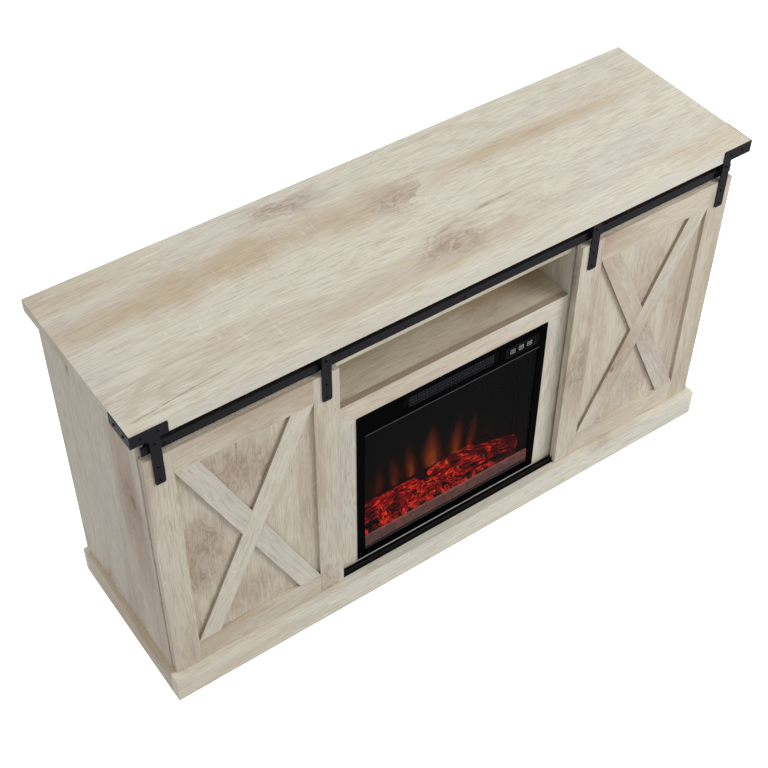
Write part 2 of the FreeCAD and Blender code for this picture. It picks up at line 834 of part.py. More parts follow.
def make_axle(name, across, seat):
    """Shouldered bolt through the strap, with a nut behind the roller."""
    roller_front = f"{FRONT} + RollerSetback"
    nut_front = f"{roller_front} + RollerWidth + RollerPlay"
    head = dome(f"{name}_axle_head", "AxleHead", "-Y", (across, f"{seat} + AxleHead / 2", "AxleLevel"))
    shank = cylinder(f"{name}_axle_shank", "AxleRadius", f"{nut_front} + AxleRadius - ({seat})", "+Y",
                     (across, seat, "AxleLevel"))
    collar = cylinder(f"{name}_axle_collar", "AxleCollarRadius",
                      f"{roller_front} - RollerPlay - ({DOOR_FRONT})", "+Y",
                      (across, DOOR_FRONT, "AxleLevel"))
    nut = cylinder(f"{name}_axle_nut", "AxleCollarRadius", "AxleRadius", "+Y",
                   (across, nut_front, "AxleLevel"))
    return fuse(f"{name}_axle", [head, shank, collar, nut])


def make_rollers(side, sign):
    """Grooved roller on each axle; the track runs in its groove."""
    bore = "AxleRadius + AxlePlay"
    inner_flange = "RollerWidth - RollerFlange"
    outline = [
        ("0", bore),
        ("RollerWidth", bore),
        ("RollerWidth", "RollerRadius"),
        (inner_flange, "RollerRadius"),
        (inner_flange, "RollerGroove"),
        ("RollerFlange", "RollerGroove"),
        ("RollerFlange", "RollerRadius"),
        ("0", "RollerRadius"),
    ]
    for hanger, across in hanger_places(sign):
        body = revolved(f"{side}_{hanger}_wheel", "YZ_Plane", outline)
        place(body, (across, f"{FRONT} + RollerSetback", "AxleLevel"))
        keep(body, f"{side}_{hanger}_roller")


# ---------------------------------------------------------------- electric fire: face

def make_insert_frame():
    """Pressed face with window, grille and panel openings, and the collar behind it."""
    half = "InsertWidth / 2"
    window = "WindowWidth / 2"
    collar = "CollarWidth / 2"
    face = (INSERT_FACE, FASCIA)
    plate = box("face_plate", (f"-{half}", half), face, ("FloorTop", "InsertTop"))
    lip = box("window_lip", (f"-{window}", window), (f"{INSERT_FACE} - LipProud", INSERT_FACE),
              ("WindowTop", "WindowTop + LipHeight"))
    rim = box("collar_block", (f"-{collar}", collar), (FASCIA, HOUSING_FRONT),
              ("FloorTop + CollarWall", "CollarTop"))
    core = box("collar_core", (f"-{collar} + CollarWall", f"{collar} - CollarWall"),
               (FASCIA, HOUSING_FRONT), ("FloorTop + 2 * CollarWall", "CollarTop - CollarWall"))
    openings = [
        core,
        box("window_opening", (f"-{window}", window), face, ("WindowBottom", "WindowTop")),
        box("grille_opening", ("GrilleLeft + GrilleMargin", "GrilleRight - GrilleMargin"), face,
            ("GrilleBottom + GrilleMargin", "GrilleTop - GrilleMargin")),
        box("panel_opening", ("PanelLeft", "PanelRight"), face, ("PanelBottom", "PanelTop")),
    ]
    keep(cut("face_cut", fuse("face_solid", [plate, lip, rim]), openings), "insert_front_frame")


def make_glass():
    reach = "WindowWidth / 2 + GlassMargin"
    keep(box("glass_pane", (f"-({reach})", reach), (FASCIA, f"{FASCIA} + GlassThickness"),
             ("WindowBottom - GlassMargin", "WindowTop + GlassMargin")), "viewing_glass")


def make_grille():
    """Perforated plate behind the face: four rows of small upright slots."""
    outline = rectangle(("GrilleLeft", "GrilleBottom"), ("GrilleRight", "GrilleTop"))
    body = prism("grille", "XZ_Plane", outline, "GrilleThickness", ("0", FASCIA, "0"))
    first = f"(GrilleLeft + GrilleRight) / 2 - {GRILLE_COLUMNS - 1} / 2 * SlotPitch"
    middle = "(GrilleBottom + GrilleTop) / 2"
    sketch = sketch_on(body, "XZ_Plane", "grille_slot_column")
    for row in GRILLE_ROWS:
        level = f"{middle} + {row} * SlotRowPitch"
        polygon(sketch, rectangle((f"{first} - SlotWidth / 2", f"{level} - SlotHeight / 2"),
                                  (f"{first} + SlotWidth / 2", f"{level} + SlotHeight / 2")))
    pocket = pocket_through(body, sketch, "grille_slots")
    before = body.Shape.Volume
    pattern = body.newObject("PartDesign::LinearPattern", "grille_columns")
    pattern.Originals = [pocket]
    pattern.Direction = (sketch, ["H_Axis"])
    pattern.Mode = "Spacing"
    bind(pattern, Offset="SlotPitch")
    pattern.Occurrences = GRILLE_COLUMNS
    body.Tip = pattern
    doc.recompute()
    if body.Shape.Volume >= before:
        raise RuntimeError("the grille pattern cuts nothing")
    keep(body, "vent_grille")


def key_centre(number):
    return f"KeyCentre + {number} * KeyPitch"


def make_controls():
    """Glossy plate with three push keys."""
    front = f"{INSERT_FACE} + ControlRecess"
    plate = box("control_plate", ("PanelLeft", "PanelRight"), (front, f"{front} + ControlThickness"),
                ("PanelBottom", "PanelTop"))
    gaps = []
    keys = {"power_key": -1, "flame_key": 0, "heat_key": 1}
    for name, number in keys.items():
        middle = key_centre(number)
        reach = "(KeyWidth / 2 + KeyPlay)"
        tall = "(KeyHeight / 2 + KeyPlay)"
        gaps.append(box(f"{name}_gap", (f"{middle} - {reach}", f"{middle} + {reach}"),
                        (front, f"{front} + ControlThickness"),
                        (f"KeyLevel - {tall}", f"KeyLevel + {tall}")))
        keep(box(f"{name}_block", (f"{middle} - KeyWidth / 2", f"{middle} + KeyWidth / 2"),
                 (f"{front} - KeyProud", f"{front} - KeyProud + KeyDepth"),
                 ("KeyLevel - KeyHeight / 2", "KeyLevel + KeyHeight / 2")), name)
    keep(cut("control_cut", plate, gaps), "control_panel")


# ---------------------------------------------------------------- electric fire: box and inner parts

def make_housing():
    """Sheet-steel box in two compartments, vented at the back."""
    half = "CollarWidth / 2"
    low = "FloorTop + CollarWall"
    shell = box("housing_shell", (f"-{half}", half), (HOUSING_FRONT, HOUSING_BACK), (low, "CollarTop"))
    inner = (f"-{half} + SheetThickness", f"{half} - SheetThickness")
    depth = (HOUSING_FRONT, f"{HOUSING_BACK} - SheetThickness")
    openings = [
        box("fire_space", inner, depth, (f"{low} + SheetThickness", "DividerLevel")),
        box("heater_space", inner, depth,
            ("DividerLevel + SheetThickness", "CollarTop - SheetThickness")),
        cylinder("spindle_holes", "SpindleRadius + AxlePlay", "CollarWidth", "+X",
                 (f"-{half}", f"{FRONT} + SpindleSetback", "SpindleLevel")),
        cylinder("blower_holes", "BlowerShaft + AxlePlay", "CollarWidth", "+X",
                 (f"-{half}", f"{FRONT} + BlowerSetback", "BlowerLevel")),
        cylinder("gland_hole", "GlandNeck + ScrewPlay", "SheetThickness", "+Y",
                 ("-GlandOffset", f"{HOUSING_BACK} - SheetThickness", "GlandLevel")),
    ]
    for number in range(VENT_COUNT):
        level = f"DividerLevel - {number + 2} * VentPitch"
        openings.append(box(f"housing_vent_{number}", ("-VentWidth / 2", "VentWidth / 2"),
                            (f"{HOUSING_BACK} - SheetThickness", HOUSING_BACK),
                            (level, f"{level} + VentHeight")))
    keep(cut("housing_cut", shell, openings), "insert_housing")


def make_screen():
    half = "FireWidth / 2"
    keep(box("screen_sheet", (f"-{half}", half),
             (f"{FRONT} + ScreenSetback", f"{FRONT} + ScreenSetback + ScreenThickness"),
             (HOUSING_FLOOR, "DividerLevel")), "flame_screen")


def make_log(name, radius, setback, level, leg_setback, phase):
    """Uneven log lofted through circles whose size and height wander along X."""
    body = doc.addObject("PartDesign::Body", f"{name}_body")
    sections = []
    for station in range(LOG_STATIONS):
        part = station / (LOG_STATIONS - 1)
        turn = 2 * math.pi * part
        swell = round(1 - LOG_SWELL + LOG_SWELL * math.cos(turn * LOG_SWELL_WAVES + phase), 4)
        lift = round(LOG_LIFT * math.sin(turn + phase), 4)
        sketch = sketch_on(body, "YZ_Plane", f"{name}_section_{station}")
        offset = on_sheet(f"({part} - 0.5) * LogLength")
        sketch.setExpression("AttachmentOffset.Base.z", offset)
        circle(sketch, ("0", f"{lift} * {radius}"), f"{swell} * {radius}")
        sections.append(sketch)
    doc.recompute()
    loft = body.newObject("PartDesign::AdditiveLoft", f"{name}_loft")
    loft.Profile = sections[0]
    loft.Sections = sections[1:]
    doc.recompute()
    place(body, ("0", f"{FRONT} + {setback}", level))
    legs = [cylinder(f"{name}_leg_{end}", "LogLegRadius", f"{level} - ({HOUSING_FLOOR})", "+Z",
                     (f"{end} * LogLegSpread", f"{FRONT} + {leg_setback}", HOUSING_FLOOR))
            for end in (-1, 1)]
    keep(fuse(f"{name}_on_legs", [body] + legs), name)


def make_fire_bed():
    """Two logs of the relief, the ember strip in front and the lamps below."""
    make_log("rear_log", "RearLogRadius", "RearLogSetback", "RearLogLevel", "RearLegSetback", 0.6)
    make_log("front_log", "FrontLogRadius", "FrontLogSetback", "FrontLogLevel", "FrontLegSetback", 2.4)
    half = "FireWidth / 2"
    keep(box("ember_block", (f"-{half}", half),
             (f"{FRONT} + EmberSetback", f"{FRONT} + EmberSetback + EmberDepth"),
             ("FloorTop + 2 * CollarWall", "EmberTop")), "ember_strip")
    board_top = f"{HOUSING_FLOOR} + SheetThickness"
    near = f"{FRONT} + FrontLogSetback"
    strip = box("led_strip", ("-LogLength / 2", "LogLength / 2"), (near, f"{near} + BoardDepth"),
                (HOUSING_FLOOR, board_top))
    lamps = []
    for number in range(LED_COUNT):
        across = f"({number} - {LED_COUNT - 1} / 2) * LedPitch"
        middle = f"{near} + BoardDepth / 2"
        lamps.append(box(f"led_{number}", (f"{across} - LedSize / 2", f"{across} + LedSize / 2"),
                         (f"{middle} - LedSize / 2", f"{middle} + LedSize / 2"),
                         (board_top, f"{board_top} + LedSize / 3")))
    keep(fuse("led_strip_set", [strip] + lamps), "led_board")


def make_spindle():
    """Rod with tilted mirror fins that throws the moving flame light, and its motor."""
    half = "CollarWidth / 2"
    axis = (f"{FRONT} + SpindleSetback", "SpindleLevel")
    grip = "MotorLength / 2"
    parts = [cylinder("spindle_rod", "SpindleRadius", f"CollarWidth + {grip}", "+X", (f"-{half}",) + axis)]
    for number in range(FIN_COUNT):
        across = f"({number} - {FIN_COUNT - 1} / 2) * FinPitch"
        fin = doc.addObject("Part::Box", f"fin_{number}")
        bind(fin, Length="FinLength", Width="FinThickness", Height="2 * FinHeight + 2 * SpindleRadius")
        turn = Rotation(Vector(1, 0, 0), number * 180 / FIN_COUNT)
        lever = turn.multVec(Vector(0, size_of("FinThickness / 2"), size_of("FinHeight + SpindleRadius")))
        place(fin, (f"{across} - FinLength / 2", f"{axis[0]} - ({lever.y})", f"{axis[1]} - ({lever.z})"),
              turn)
        parts.append(fin)
    keep(fuse("spindle_set", parts), "flame_spindle")
    can = cylinder("motor_can", "MotorRadius", "MotorLength", "+X", (half,) + axis)
    bore = cylinder("motor_bore", "SpindleRadius + AxlePlay", f"{grip} + ScrewPlay", "+X", (half,) + axis)
    keep(cut("motor_bored", can, [bore]), "flame_motor")


def make_blower():
    """Cross-flow wheel: end discs, a ring of blades and a shaft in the housing's walls."""
    half = "BlowerLength / 2"
    axis = (f"{FRONT} + BlowerSetback", "BlowerLevel")
    parts = [cylinder("blower_shaft", "BlowerShaft", "CollarWidth", "+X", ("-CollarWidth / 2",) + axis)]
    for number in range(-1, 2):
        start = f"{number} * ({half} - SheetThickness) - SheetThickness"
        parts.append(cylinder(f"blower_disc_{number}", "BlowerRadius", "2 * SheetThickness", "+X",
                              (start,) + axis))
    for number in range(BLADE_COUNT):
        blade = doc.addObject("Part::Box", f"blade_{number}")
        bind(blade, Length="BlowerLength", Width="BladeThickness", Height="BladeWidth")
        turn = Rotation(Vector(1, 0, 0), number * 360 / BLADE_COUNT)
        lever = turn.multVec(Vector(0, -size_of("BladeThickness / 2"),
                                    size_of("BlowerRadius - BladeWidth - BladeThickness / 2")))
        place(blade, (f"-{half}", f"{axis[0]} + ({lever.y})", f"{axis[1]} + ({lever.z})"), turn)
        parts.append(blade)
    keep(fuse("blower_set", parts), "blower_wheel")


def make_heater():
    """Finned ceramic heater behind the grille."""
    outline = rectangle(("-HeaterLength / 2", "0"), ("HeaterLength / 2", "HeaterHeight"))
    body = prism("heater", "XZ_Plane", outline, "HeaterDepth",
                 ("0", f"{FRONT} + HeaterSetback", "DividerLevel + SheetThickness"))
    first = f"-{HEATER_SLOTS - 1} / 2 * HeaterPitch"
    sketch = sketch_on(body, "XZ_Plane", "heater_slot")
    polygon(sketch, rectangle((f"{first} - HeaterSlot / 2", "HeaterSlot"),
                              (f"{first} + HeaterSlot / 2", "HeaterHeight - HeaterSlot")))
    pocket = pocket_through(body, sketch, "heater_cut")
    pattern = body.newObject("PartDesign::LinearPattern", "heater_slots")
    pattern.Originals = [pocket]
    pattern.Direction = (sketch, ["H_Axis"])
    pattern.Mode = "Spacing"
    bind(pattern, Offset="HeaterPitch")
    pattern.Occurrences = HEATER_SLOTS
    body.Tip = pattern
    doc.recompute()
    keep(body, "heater_element")


def make_gland():
    """Cord inlet on the housing's back: a bush with a through bore."""
    seat = ("-GlandOffset", HOUSING_BACK, "GlandLevel")
    neck_start = ("-GlandOffset", f"{HOUSING_BACK} - SheetThickness", "GlandLevel")
    bush = cylinder("gland_bush", "GlandRadius", "GlandLength", "+Y", seat)
    neck = cylinder("gland_neck", "GlandNeck", "SheetThickness", "+Y", neck_start)
    bore = cylinder("gland_bore", "GlandBore", "GlandLength + SheetThickness", "+Y", neck_start)
    keep(cut("gland_bored", fuse("gland_solid", [bush, neck]), [bore]), "cord_gland")


# ---------------------------------------------------------------- build, check, write

def check_model():
    """Stop on any failed object or bad shape before a file is written."""
    failed = [item.Name for item in doc.Objects
              if "Invalid" in item.State or "Error" in item.State]
    if failed:
        raise RuntimeError(f"failed objects: {failed}")
    for name, item in nodes.items():
        if item.Shape.isNull() or not item.Shape.isValid():
            raise RuntimeError(f"bad shape: {name}")


def write_parts():
    os.makedirs("parts", exist_ok=True)
    for name, item in nodes.items():
        item.Shape.exportStep(f"parts/{name}.step")


sheet = make_sheet()
make_top()
make_sides()
make_partitions()
make_floor_and_shelves()
make_shelf_pins()
make_fascia()
make_plinth()
make_backs()
make_track()
make_guide()
make_corner_brackets()
for door_side, door_sign in SIDES.items():
    make_door_panel(door_side, door_sign)
    make_door_frame(door_side, door_sign)
    make_door_braces(door_side, door_sign)
    make_hangers(door_side, door_sign)
    make_rollers(door_side, door_sign)
make_insert_frame()
make_glass()
make_grille()
make_controls()
make_housing()
make_screen()
make_fire_bed()
make_spindle()
make_blower()
make_heater()
make_gland()
doc.recompute()
check_model()
write_parts()
for node_name, node in nodes.items():
    print(node_name, len(node.Shape.Solids), round(node.Shape.Volume / 1000, 1), "cm3")
print(len(nodes), "nodes")
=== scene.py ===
import math

import bmesh
import bpy
from mathutils import Euler, Matrix, Vector, noise


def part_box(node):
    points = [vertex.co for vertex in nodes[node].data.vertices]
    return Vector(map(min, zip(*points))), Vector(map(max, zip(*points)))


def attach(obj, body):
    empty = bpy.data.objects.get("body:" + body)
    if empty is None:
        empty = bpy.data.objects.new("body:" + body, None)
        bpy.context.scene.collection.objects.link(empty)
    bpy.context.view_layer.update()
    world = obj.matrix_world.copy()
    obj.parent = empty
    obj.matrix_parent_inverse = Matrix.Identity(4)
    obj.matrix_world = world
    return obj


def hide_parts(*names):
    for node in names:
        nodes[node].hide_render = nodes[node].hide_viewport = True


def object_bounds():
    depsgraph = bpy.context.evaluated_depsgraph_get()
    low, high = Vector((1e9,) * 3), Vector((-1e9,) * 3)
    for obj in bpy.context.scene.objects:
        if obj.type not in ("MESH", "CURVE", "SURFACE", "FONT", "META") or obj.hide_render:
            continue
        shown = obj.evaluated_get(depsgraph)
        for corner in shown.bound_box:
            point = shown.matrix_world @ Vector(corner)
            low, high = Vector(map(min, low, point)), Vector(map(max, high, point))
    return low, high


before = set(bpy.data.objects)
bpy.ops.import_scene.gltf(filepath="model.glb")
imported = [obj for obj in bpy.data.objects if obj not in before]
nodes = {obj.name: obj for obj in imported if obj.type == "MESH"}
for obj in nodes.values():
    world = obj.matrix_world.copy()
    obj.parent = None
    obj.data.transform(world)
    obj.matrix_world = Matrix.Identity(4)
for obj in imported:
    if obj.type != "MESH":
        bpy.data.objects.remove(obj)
cad_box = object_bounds()

# Looks for the oak cabinet and its electric fire.  Metres, in the CAD frame: X along the cabinet,
# Y to the back, Z up, floor at z = 0.

MM = 0.001
SIDES = ("left", "right")

# Ways that a board's edge strip can face.
FACES_Y = (0, 1, 0)
FACES_Z = (0, 0, 1)

# Directions of the grain, as the turn that lays a board's length on X.
ALONG_X = (0, 0, 0)
ALONG_Y = (0, 0, math.radians(-90))
ALONG_Z = (0, math.radians(90), 0)


def srgb(red, green, blue, alpha=1.0):
    """Linear colour from 8-bit display values."""
    parts = [value / 255 for value in (red, green, blue)]
    linear = [p / 12.92 if p <= 0.04045 else ((p + 0.055) / 1.055) ** 2.4 for p in parts]
    return (*linear, alpha)


# ---------------------------------------------------------------- shader helpers

class Shader:
    """Node tree of one material, with short calls to add and join nodes."""

    def __init__(self, name, roughness=0.5):
        self.material = bpy.data.materials.new(name)
        self.material.use_nodes = True
        self.tree = self.material.node_tree
        self.surface = self.tree.nodes["Principled BSDF"]
        self.surface.inputs["Roughness"].default_value = roughness

    def add(self, kind, inputs, **settings):
        node = self.tree.nodes.new(kind)
        for key, value in settings.items():
            setattr(node, key, value)
        for key, value in inputs.items():
            self.feed(node, key, value)
        return node

    def feed(self, node, key, value):
        """Join an input to another node's output, or set it to a plain value."""
        if isinstance(value, bpy.types.NodeSocket):
            self.tree.links.new(value, node.inputs[key])
        else:
            node.inputs[key].default_value = value

    def coordinates(self, kind="Object"):
        return self.add("ShaderNodeTexCoord", {}).outputs[kind]

    def mapped(self, vector, location=(0, 0, 0), rotation=(0, 0, 0), scale=(1, 1, 1)):
        inputs = {"Vector": vector, "Location": location, "Rotation": rotation, "Scale": scale}
        return self.add("ShaderNodeMapping", inputs).outputs["Vector"]

    def noise(self, vector, detail=2.0, roughness=0.5, output="Fac"):
        inputs = {"Vector": vector, "Scale": 1.0, "Detail": detail, "Roughness": roughness}
        return self.add("ShaderNodeTexNoise", inputs).outputs[output]

    def grain(self, vector, along, across, detail=2.0, roughness=0.5):
        """Noise with so many features a metre along and across the grain."""
        stretched = self.mapped(vector, scale=(along, across, across))
        return self.noise(stretched, detail, roughness)

    def maths(self, operation, first, second=0.0):
        node = self.add("ShaderNodeMath", {0: first, 1: second}, operation=operation)
        return node.outputs[0]

    def ease(self, value, low, high):
        """Smooth step from 0 at low to 1 at high; low may be the larger."""
        inputs = {"Value": value, "From Min": low, "From Max": high}
        node = self.add("ShaderNodeMapRange", inputs, interpolation_type="SMOOTHSTEP")
        return node.outputs["Result"]

    def mix(self, amount, first, second, blend="MIX"):
        node = self.add("ShaderNodeMix", {0: amount, 6: first, 7: second},
                        data_type="RGBA", blend_type=blend)
        return node.outputs[2]

    def blend(self, colour, other, mask, share):
        """Colour moved towards another by a share of the mask."""
        return self.mix(self.maths("MULTIPLY", mask, share), colour, other)

    def place(self, board, along, across):
        """Soft patches that say where a feature may show, so many a metre each way."""
        return self.ease(self.grain(board, along, across, 1.0), 0.5, 0.66)

    def patch(self, centre, reach):
        """Soft patch with a ragged edge, one at its centre and nought at its reach."""
        offset = self.vectors("DIVIDE", self.vectors("SUBTRACT", self.coordinates(), centre), reach)
        away = self.add("ShaderNodeVectorMath", {0: offset}, operation="LENGTH").outputs["Value"]
        rag = self.noise(self.mapped(self.coordinates(), scale=(11, 11, 11)), 3.0)
        return self.ease(self.maths("ADD", away, rag), 1.5, 0.7)

    def isoline(self, value, level, width):
        """Thin line where a smooth value passes a level."""
        off = self.maths("ABSOLUTE", self.maths("SUBTRACT", value, level))
        return self.ease(off, width, 0.2 * width)

    def vectors(self, operation, first, second):
        node = self.add("ShaderNodeVectorMath", {0: first, 1: second}, operation=operation)
        return node.outputs["Vector"]

    def along(self, vector, direction):
        """How far a vector reaches in one direction."""
        node = self.add("ShaderNodeVectorMath", {0: vector, 1: direction}, operation="DOT_PRODUCT")
        return node.outputs["Value"]

    def split(self, vector):
        return self.add("ShaderNodeSeparateXYZ", {"Vector": vector}).outputs

    def set(self, **inputs):
        for key, value in inputs.items():
            self.feed(self.surface, key.replace("_", " "), value)

    def level(self, socket, value):
        """Plain value on the shader's own socket, the same all over the surface."""
        self.surface.inputs[socket].default_value = value

    def bump(self, height, strength, depth):
        inputs = {"Height": height, "Strength": strength, "Distance": depth}
        self.feed(self.surface, "Normal", self.add("ShaderNodeBump", inputs).outputs["Normal"])


# ---------------------------------------------------------------- wood

PALE = srgb(218, 213, 197)
TAN = srgb(196, 179, 151)
ROSE = srgb(190, 171, 152)
CREAM = srgb(205, 191, 169)
COOL = srgb(205, 201, 191)
SHADE = srgb(176, 160, 138)
FIBRE = srgb(158, 141, 119)
SWIRL = srgb(156, 132, 114)
CRACK = srgb(110, 90, 70)
KNOT = srgb(122, 98, 74)
CHALK = srgb(238, 235, 227)
TOP_BAND = srgb(222, 216, 204)
BROWN_EDGE = srgb(150, 126, 104)
PLINTH_EDGE = srgb(205, 194, 169)
BRACE_EDGE = srgb(140, 116, 96)


def oak(name, direction, seed, tint=(1, 1, 1, 1), knotty=0.5, banding=None, warm=TAN, bands=(),
        figures=()):
    """Washed oak laminate: soft warm and cool bands, mottling, fibre, swirls, cracks and chalk.

    banding is the way that an edge strip faces, the strip's colour and its share;
    warm is the colour of the darker bands. bands and figures hold the centre, reach and strength of
    an extra warm band and of a swirling figure.
    """
    s = Shader(name)
    board = s.mapped(s.coordinates(), (1.7 * seed, 2.9 * seed, 1.3 * seed), direction)
    wavy = wander(s, board)
    warmth = s.ease(s.grain(wavy, 1.3, 8, 3.0), 0.44, 0.66)
    for centre, reach, strength in list(bands) + list(figures):
        warmth = s.maths("MAXIMUM", warmth, s.maths("MULTIPLY", s.patch(centre, reach), strength))
    colour = s.blend(PALE, warm, warmth, 0.95)
    colour = s.blend(colour, COOL, s.ease(s.grain(board, 1.6, 11, 2.0), 0.48, 0.7), 0.55)
    colour = s.blend(colour, SHADE, s.ease(s.grain(wavy, 12, 150, 5.0, 0.7), 0.46, 0.72), 0.42)

    contour = s.grain(wavy, 1.4, 7, 1.0)
    rings = s.ease(s.maths("SINE", s.maths("MULTIPLY", contour, 110)), -0.2, 1.0)
    colour = s.blend(colour, SHADE, s.maths("MULTIPLY", rings, s.place(board, 2.0, 5)), 0.22)

    fibre = s.ease(s.grain(wavy, 16, 620, 4.0, 0.65), 0.46, 0.66)
    colour = s.blend(colour, FIBRE, fibre, 0.46)
    colour = s.blend(colour, CHALK, s.ease(s.grain(board, 12, 520, 3.0), 0.54, 0.7), 0.3)
    swirls, knot, hair = knots(s, wavy, knotty)
    for centre, reach, strength in figures:
        curl = s.maths("MULTIPLY", s.patch(centre, reach), s.maths("POWER", hair, 2.0))
        swirls = s.maths("MAXIMUM", swirls, s.maths("MULTIPLY", curl, strength))
    colour = s.blend(colour, SWIRL, swirls, 0.8)
    colour = s.blend(colour, KNOT, knot, 0.75)
    cracks = crack_lines(s, wavy, fibre)
    colour = s.blend(colour, CRACK, cracks, 0.8)
    scratches = s.maths("MULTIPLY", s.ease(s.grain(wavy, 230, 45, 1.0), 0.62, 0.76), s.place(board, 3, 6))
    colour = s.blend(colour, CHALK, scratches, 0.32)

    colour = s.mix(1.0, colour, tint, "MULTIPLY")
    if banding:
        faces, band, share = banding
        facing = s.maths("ABSOLUTE", s.along(s.coordinates("Normal"), faces))
        band = s.mix(s.ease(fibre, 0.0, 1.0), band, [0.86 * part for part in band[:3]] + [1.0])
        colour = s.blend(colour, band, s.ease(facing, 0.8, 0.95), share)
    height = s.maths("SUBTRACT", s.maths("MULTIPLY", fibre, -0.4), cracks)
    s.set(Base_Color=colour, Roughness=s.maths("ADD", s.maths("MULTIPLY", fibre, 0.12), 0.5))
    s.level("Specular IOR Level", 0.3)
    s.bump(height, 0.3, 0.25 * MM)
    return s.material


def wander(s, board):
    """Board coordinates pushed gently sideways, so that the grain meanders."""
    drift = s.noise(s.mapped(board, scale=(1.8, 6, 6)), 2.0, output="Color")
    centred = s.vectors("SUBTRACT", drift, (0.5, 0.5, 0.5))
    return s.vectors("ADD", board, s.vectors("MULTIPLY", centred, (0, 0.05, 0.05)))


def crack_lines(s, wavy, fibre):
    """Mask of a few long, fine, broken cracks that follow the grain."""
    jagged = s.maths("ADD", s.grain(wavy, 0.6, 10, 0.0), s.maths("MULTIPLY", fibre, 0.006))
    line = s.isoline(jagged, 0.5, 0.006)
    broken = s.ease(s.grain(wavy, 14, 14, 1.0), 0.36, 0.5)
    return s.maths("MULTIPLY", line, s.maths("MULTIPLY", s.place(wavy, 2, 5), broken))


def knots(s, vector, amount):
    """Masks of the brown swirling figure, of the dark hearts of its knots and of its hair."""
    bent = s.noise(s.mapped(vector, scale=(9, 16, 16)), 2.0, output="Color")
    centred = s.vectors("SUBTRACT", bent, (0.5, 0.5, 0.5))
    swayed = s.vectors("ADD", vector, s.vectors("MULTIPLY", centred, (0.14, 0.08, 0.08)))
    cells = s.add("ShaderNodeTexVoronoi", {"Vector": s.mapped(swayed, scale=(4.2, 7, 7)), "Scale": 1.0})
    pick = s.split(cells.outputs["Color"])
    chosen = s.ease(pick["X"], 0.85 - 0.55 * amount, 0.9 - 0.55 * amount)
    away = cells.outputs["Distance"]
    hair_inputs = {"Vector": s.mapped(swayed, scale=(24, 80, 80)), "Scale": 1.0, "Detail": 4.0,
                   "Roughness": 0.62, "Distortion": 1.6}
    hair = s.ease(s.add("ShaderNodeTexNoise", hair_inputs).outputs["Fac"], 0.38, 0.64)
    hair = s.maths("ADD", s.maths("MULTIPLY", hair, 0.75), 0.25)
    halo = s.maths("MULTIPLY", s.ease(away, 0.5, 0.06), hair)
    heart = s.maths("MULTIPLY", s.ease(away, 0.08, 0.02), s.ease(pick["Y"], 0.6, 0.7))
    return s.maths("MULTIPLY", halo, chosen), s.maths("MULTIPLY", heart, chosen), hair


def hardboard(name):
    """Brown fibreboard back panel: coarse flecks, cloudy tone and a faint pressed texture."""
    s = Shader(name, 0.8)
    speckle = s.noise(s.mapped(s.coordinates(), scale=(520, 520, 520)), 3.0, 0.7)
    flecks = s.ease(s.noise(s.mapped(s.coordinates(), scale=(160, 160, 160)), 2.0), 0.55, 0.7)
    cloud = s.noise(s.mapped(s.coordinates(), scale=(5, 5, 5)), 3.0)
    colour = s.mix(speckle, srgb(136, 114, 90), srgb(178, 158, 132))
    colour = s.blend(colour, srgb(112, 90, 68), flecks, 0.45)
    colour = s.blend(colour, srgb(134, 110, 84), s.ease(cloud, 0.4, 0.65), 0.45)
    s.set(Base_Color=colour)
    s.bump(speckle, 0.3, 0.15 * MM)
    return s.material


# ---------------------------------------------------------------- metal, plastic and glass

def coated(name, colour, worn, roughness, gloss=0.25, grit=900):
    """Powder coat or moulded plastic: fine grain, cloudy gloss and slightly rubbed patches."""
    s = Shader(name)
    place = s.coordinates()
    fine = s.noise(s.mapped(place, scale=(grit, grit, grit)), 1.0)
    cloud = s.noise(s.mapped(place, scale=(24, 24, 24)), 3.0)
    rubbed = s.maths("MULTIPLY", s.ease(cloud, 0.52, 0.8), 0.5)
    spread = s.maths("MULTIPLY", cloud, 0.16)
    s.set(Base_Color=s.mix(rubbed, colour, worn), Roughness=s.maths("ADD", spread, roughness - 0.08))
    s.level("Specular IOR Level", gloss)
    s.bump(fine, 0.12, 0.05 * MM)
    return s.material


def brushed(name, colour, direction=(1, 1, 0.02)):
    """Bare metal with fine lines drawn one way."""
    s = Shader(name)
    lines = s.noise(s.mapped(s.coordinates(), scale=[900 * part for part in direction]), 2.0)
    s.set(Base_Color=s.mix(lines, colour, [0.8 * part for part in colour[:3]] + [1.0]), Metallic=1.0,
          Roughness=s.maths("ADD", s.maths("MULTIPLY", lines, 0.2), 0.25))
    s.bump(lines, 0.1, 0.05 * MM)
    return s.material


def smoked_glass(name):
    """Tinted pane that keeps back about half of the light, cloudy by a hair."""
    s = Shader(name, 0.06)
    smear = s.noise(s.mapped(s.coordinates(), scale=(6, 6, 14)), 2.0)
    s.set(Base_Color=s.mix(smear, (0.002, 0.002, 0.002, 1), (0.004, 0.004, 0.004, 1)),
          Alpha=s.maths("ADD", s.maths("MULTIPLY", smear, 0.08), 0.46))
    s.level("Specular IOR Level", 0.045)
    return s.material


def lit_mark(name):
    """White printed symbol, softly lit from behind."""
    s = Shader(name, 0.4)
    speckle = s.noise(s.mapped(s.coordinates(), scale=(1500, 1500, 1500)), 1.0)
    colour = s.mix(speckle, srgb(200, 202, 206), srgb(222, 224, 226))
    s.set(Base_Color=colour, Emission_Color=colour, Emission_Strength=0.25)
    return s.material


# ---------------------------------------------------------------- fire

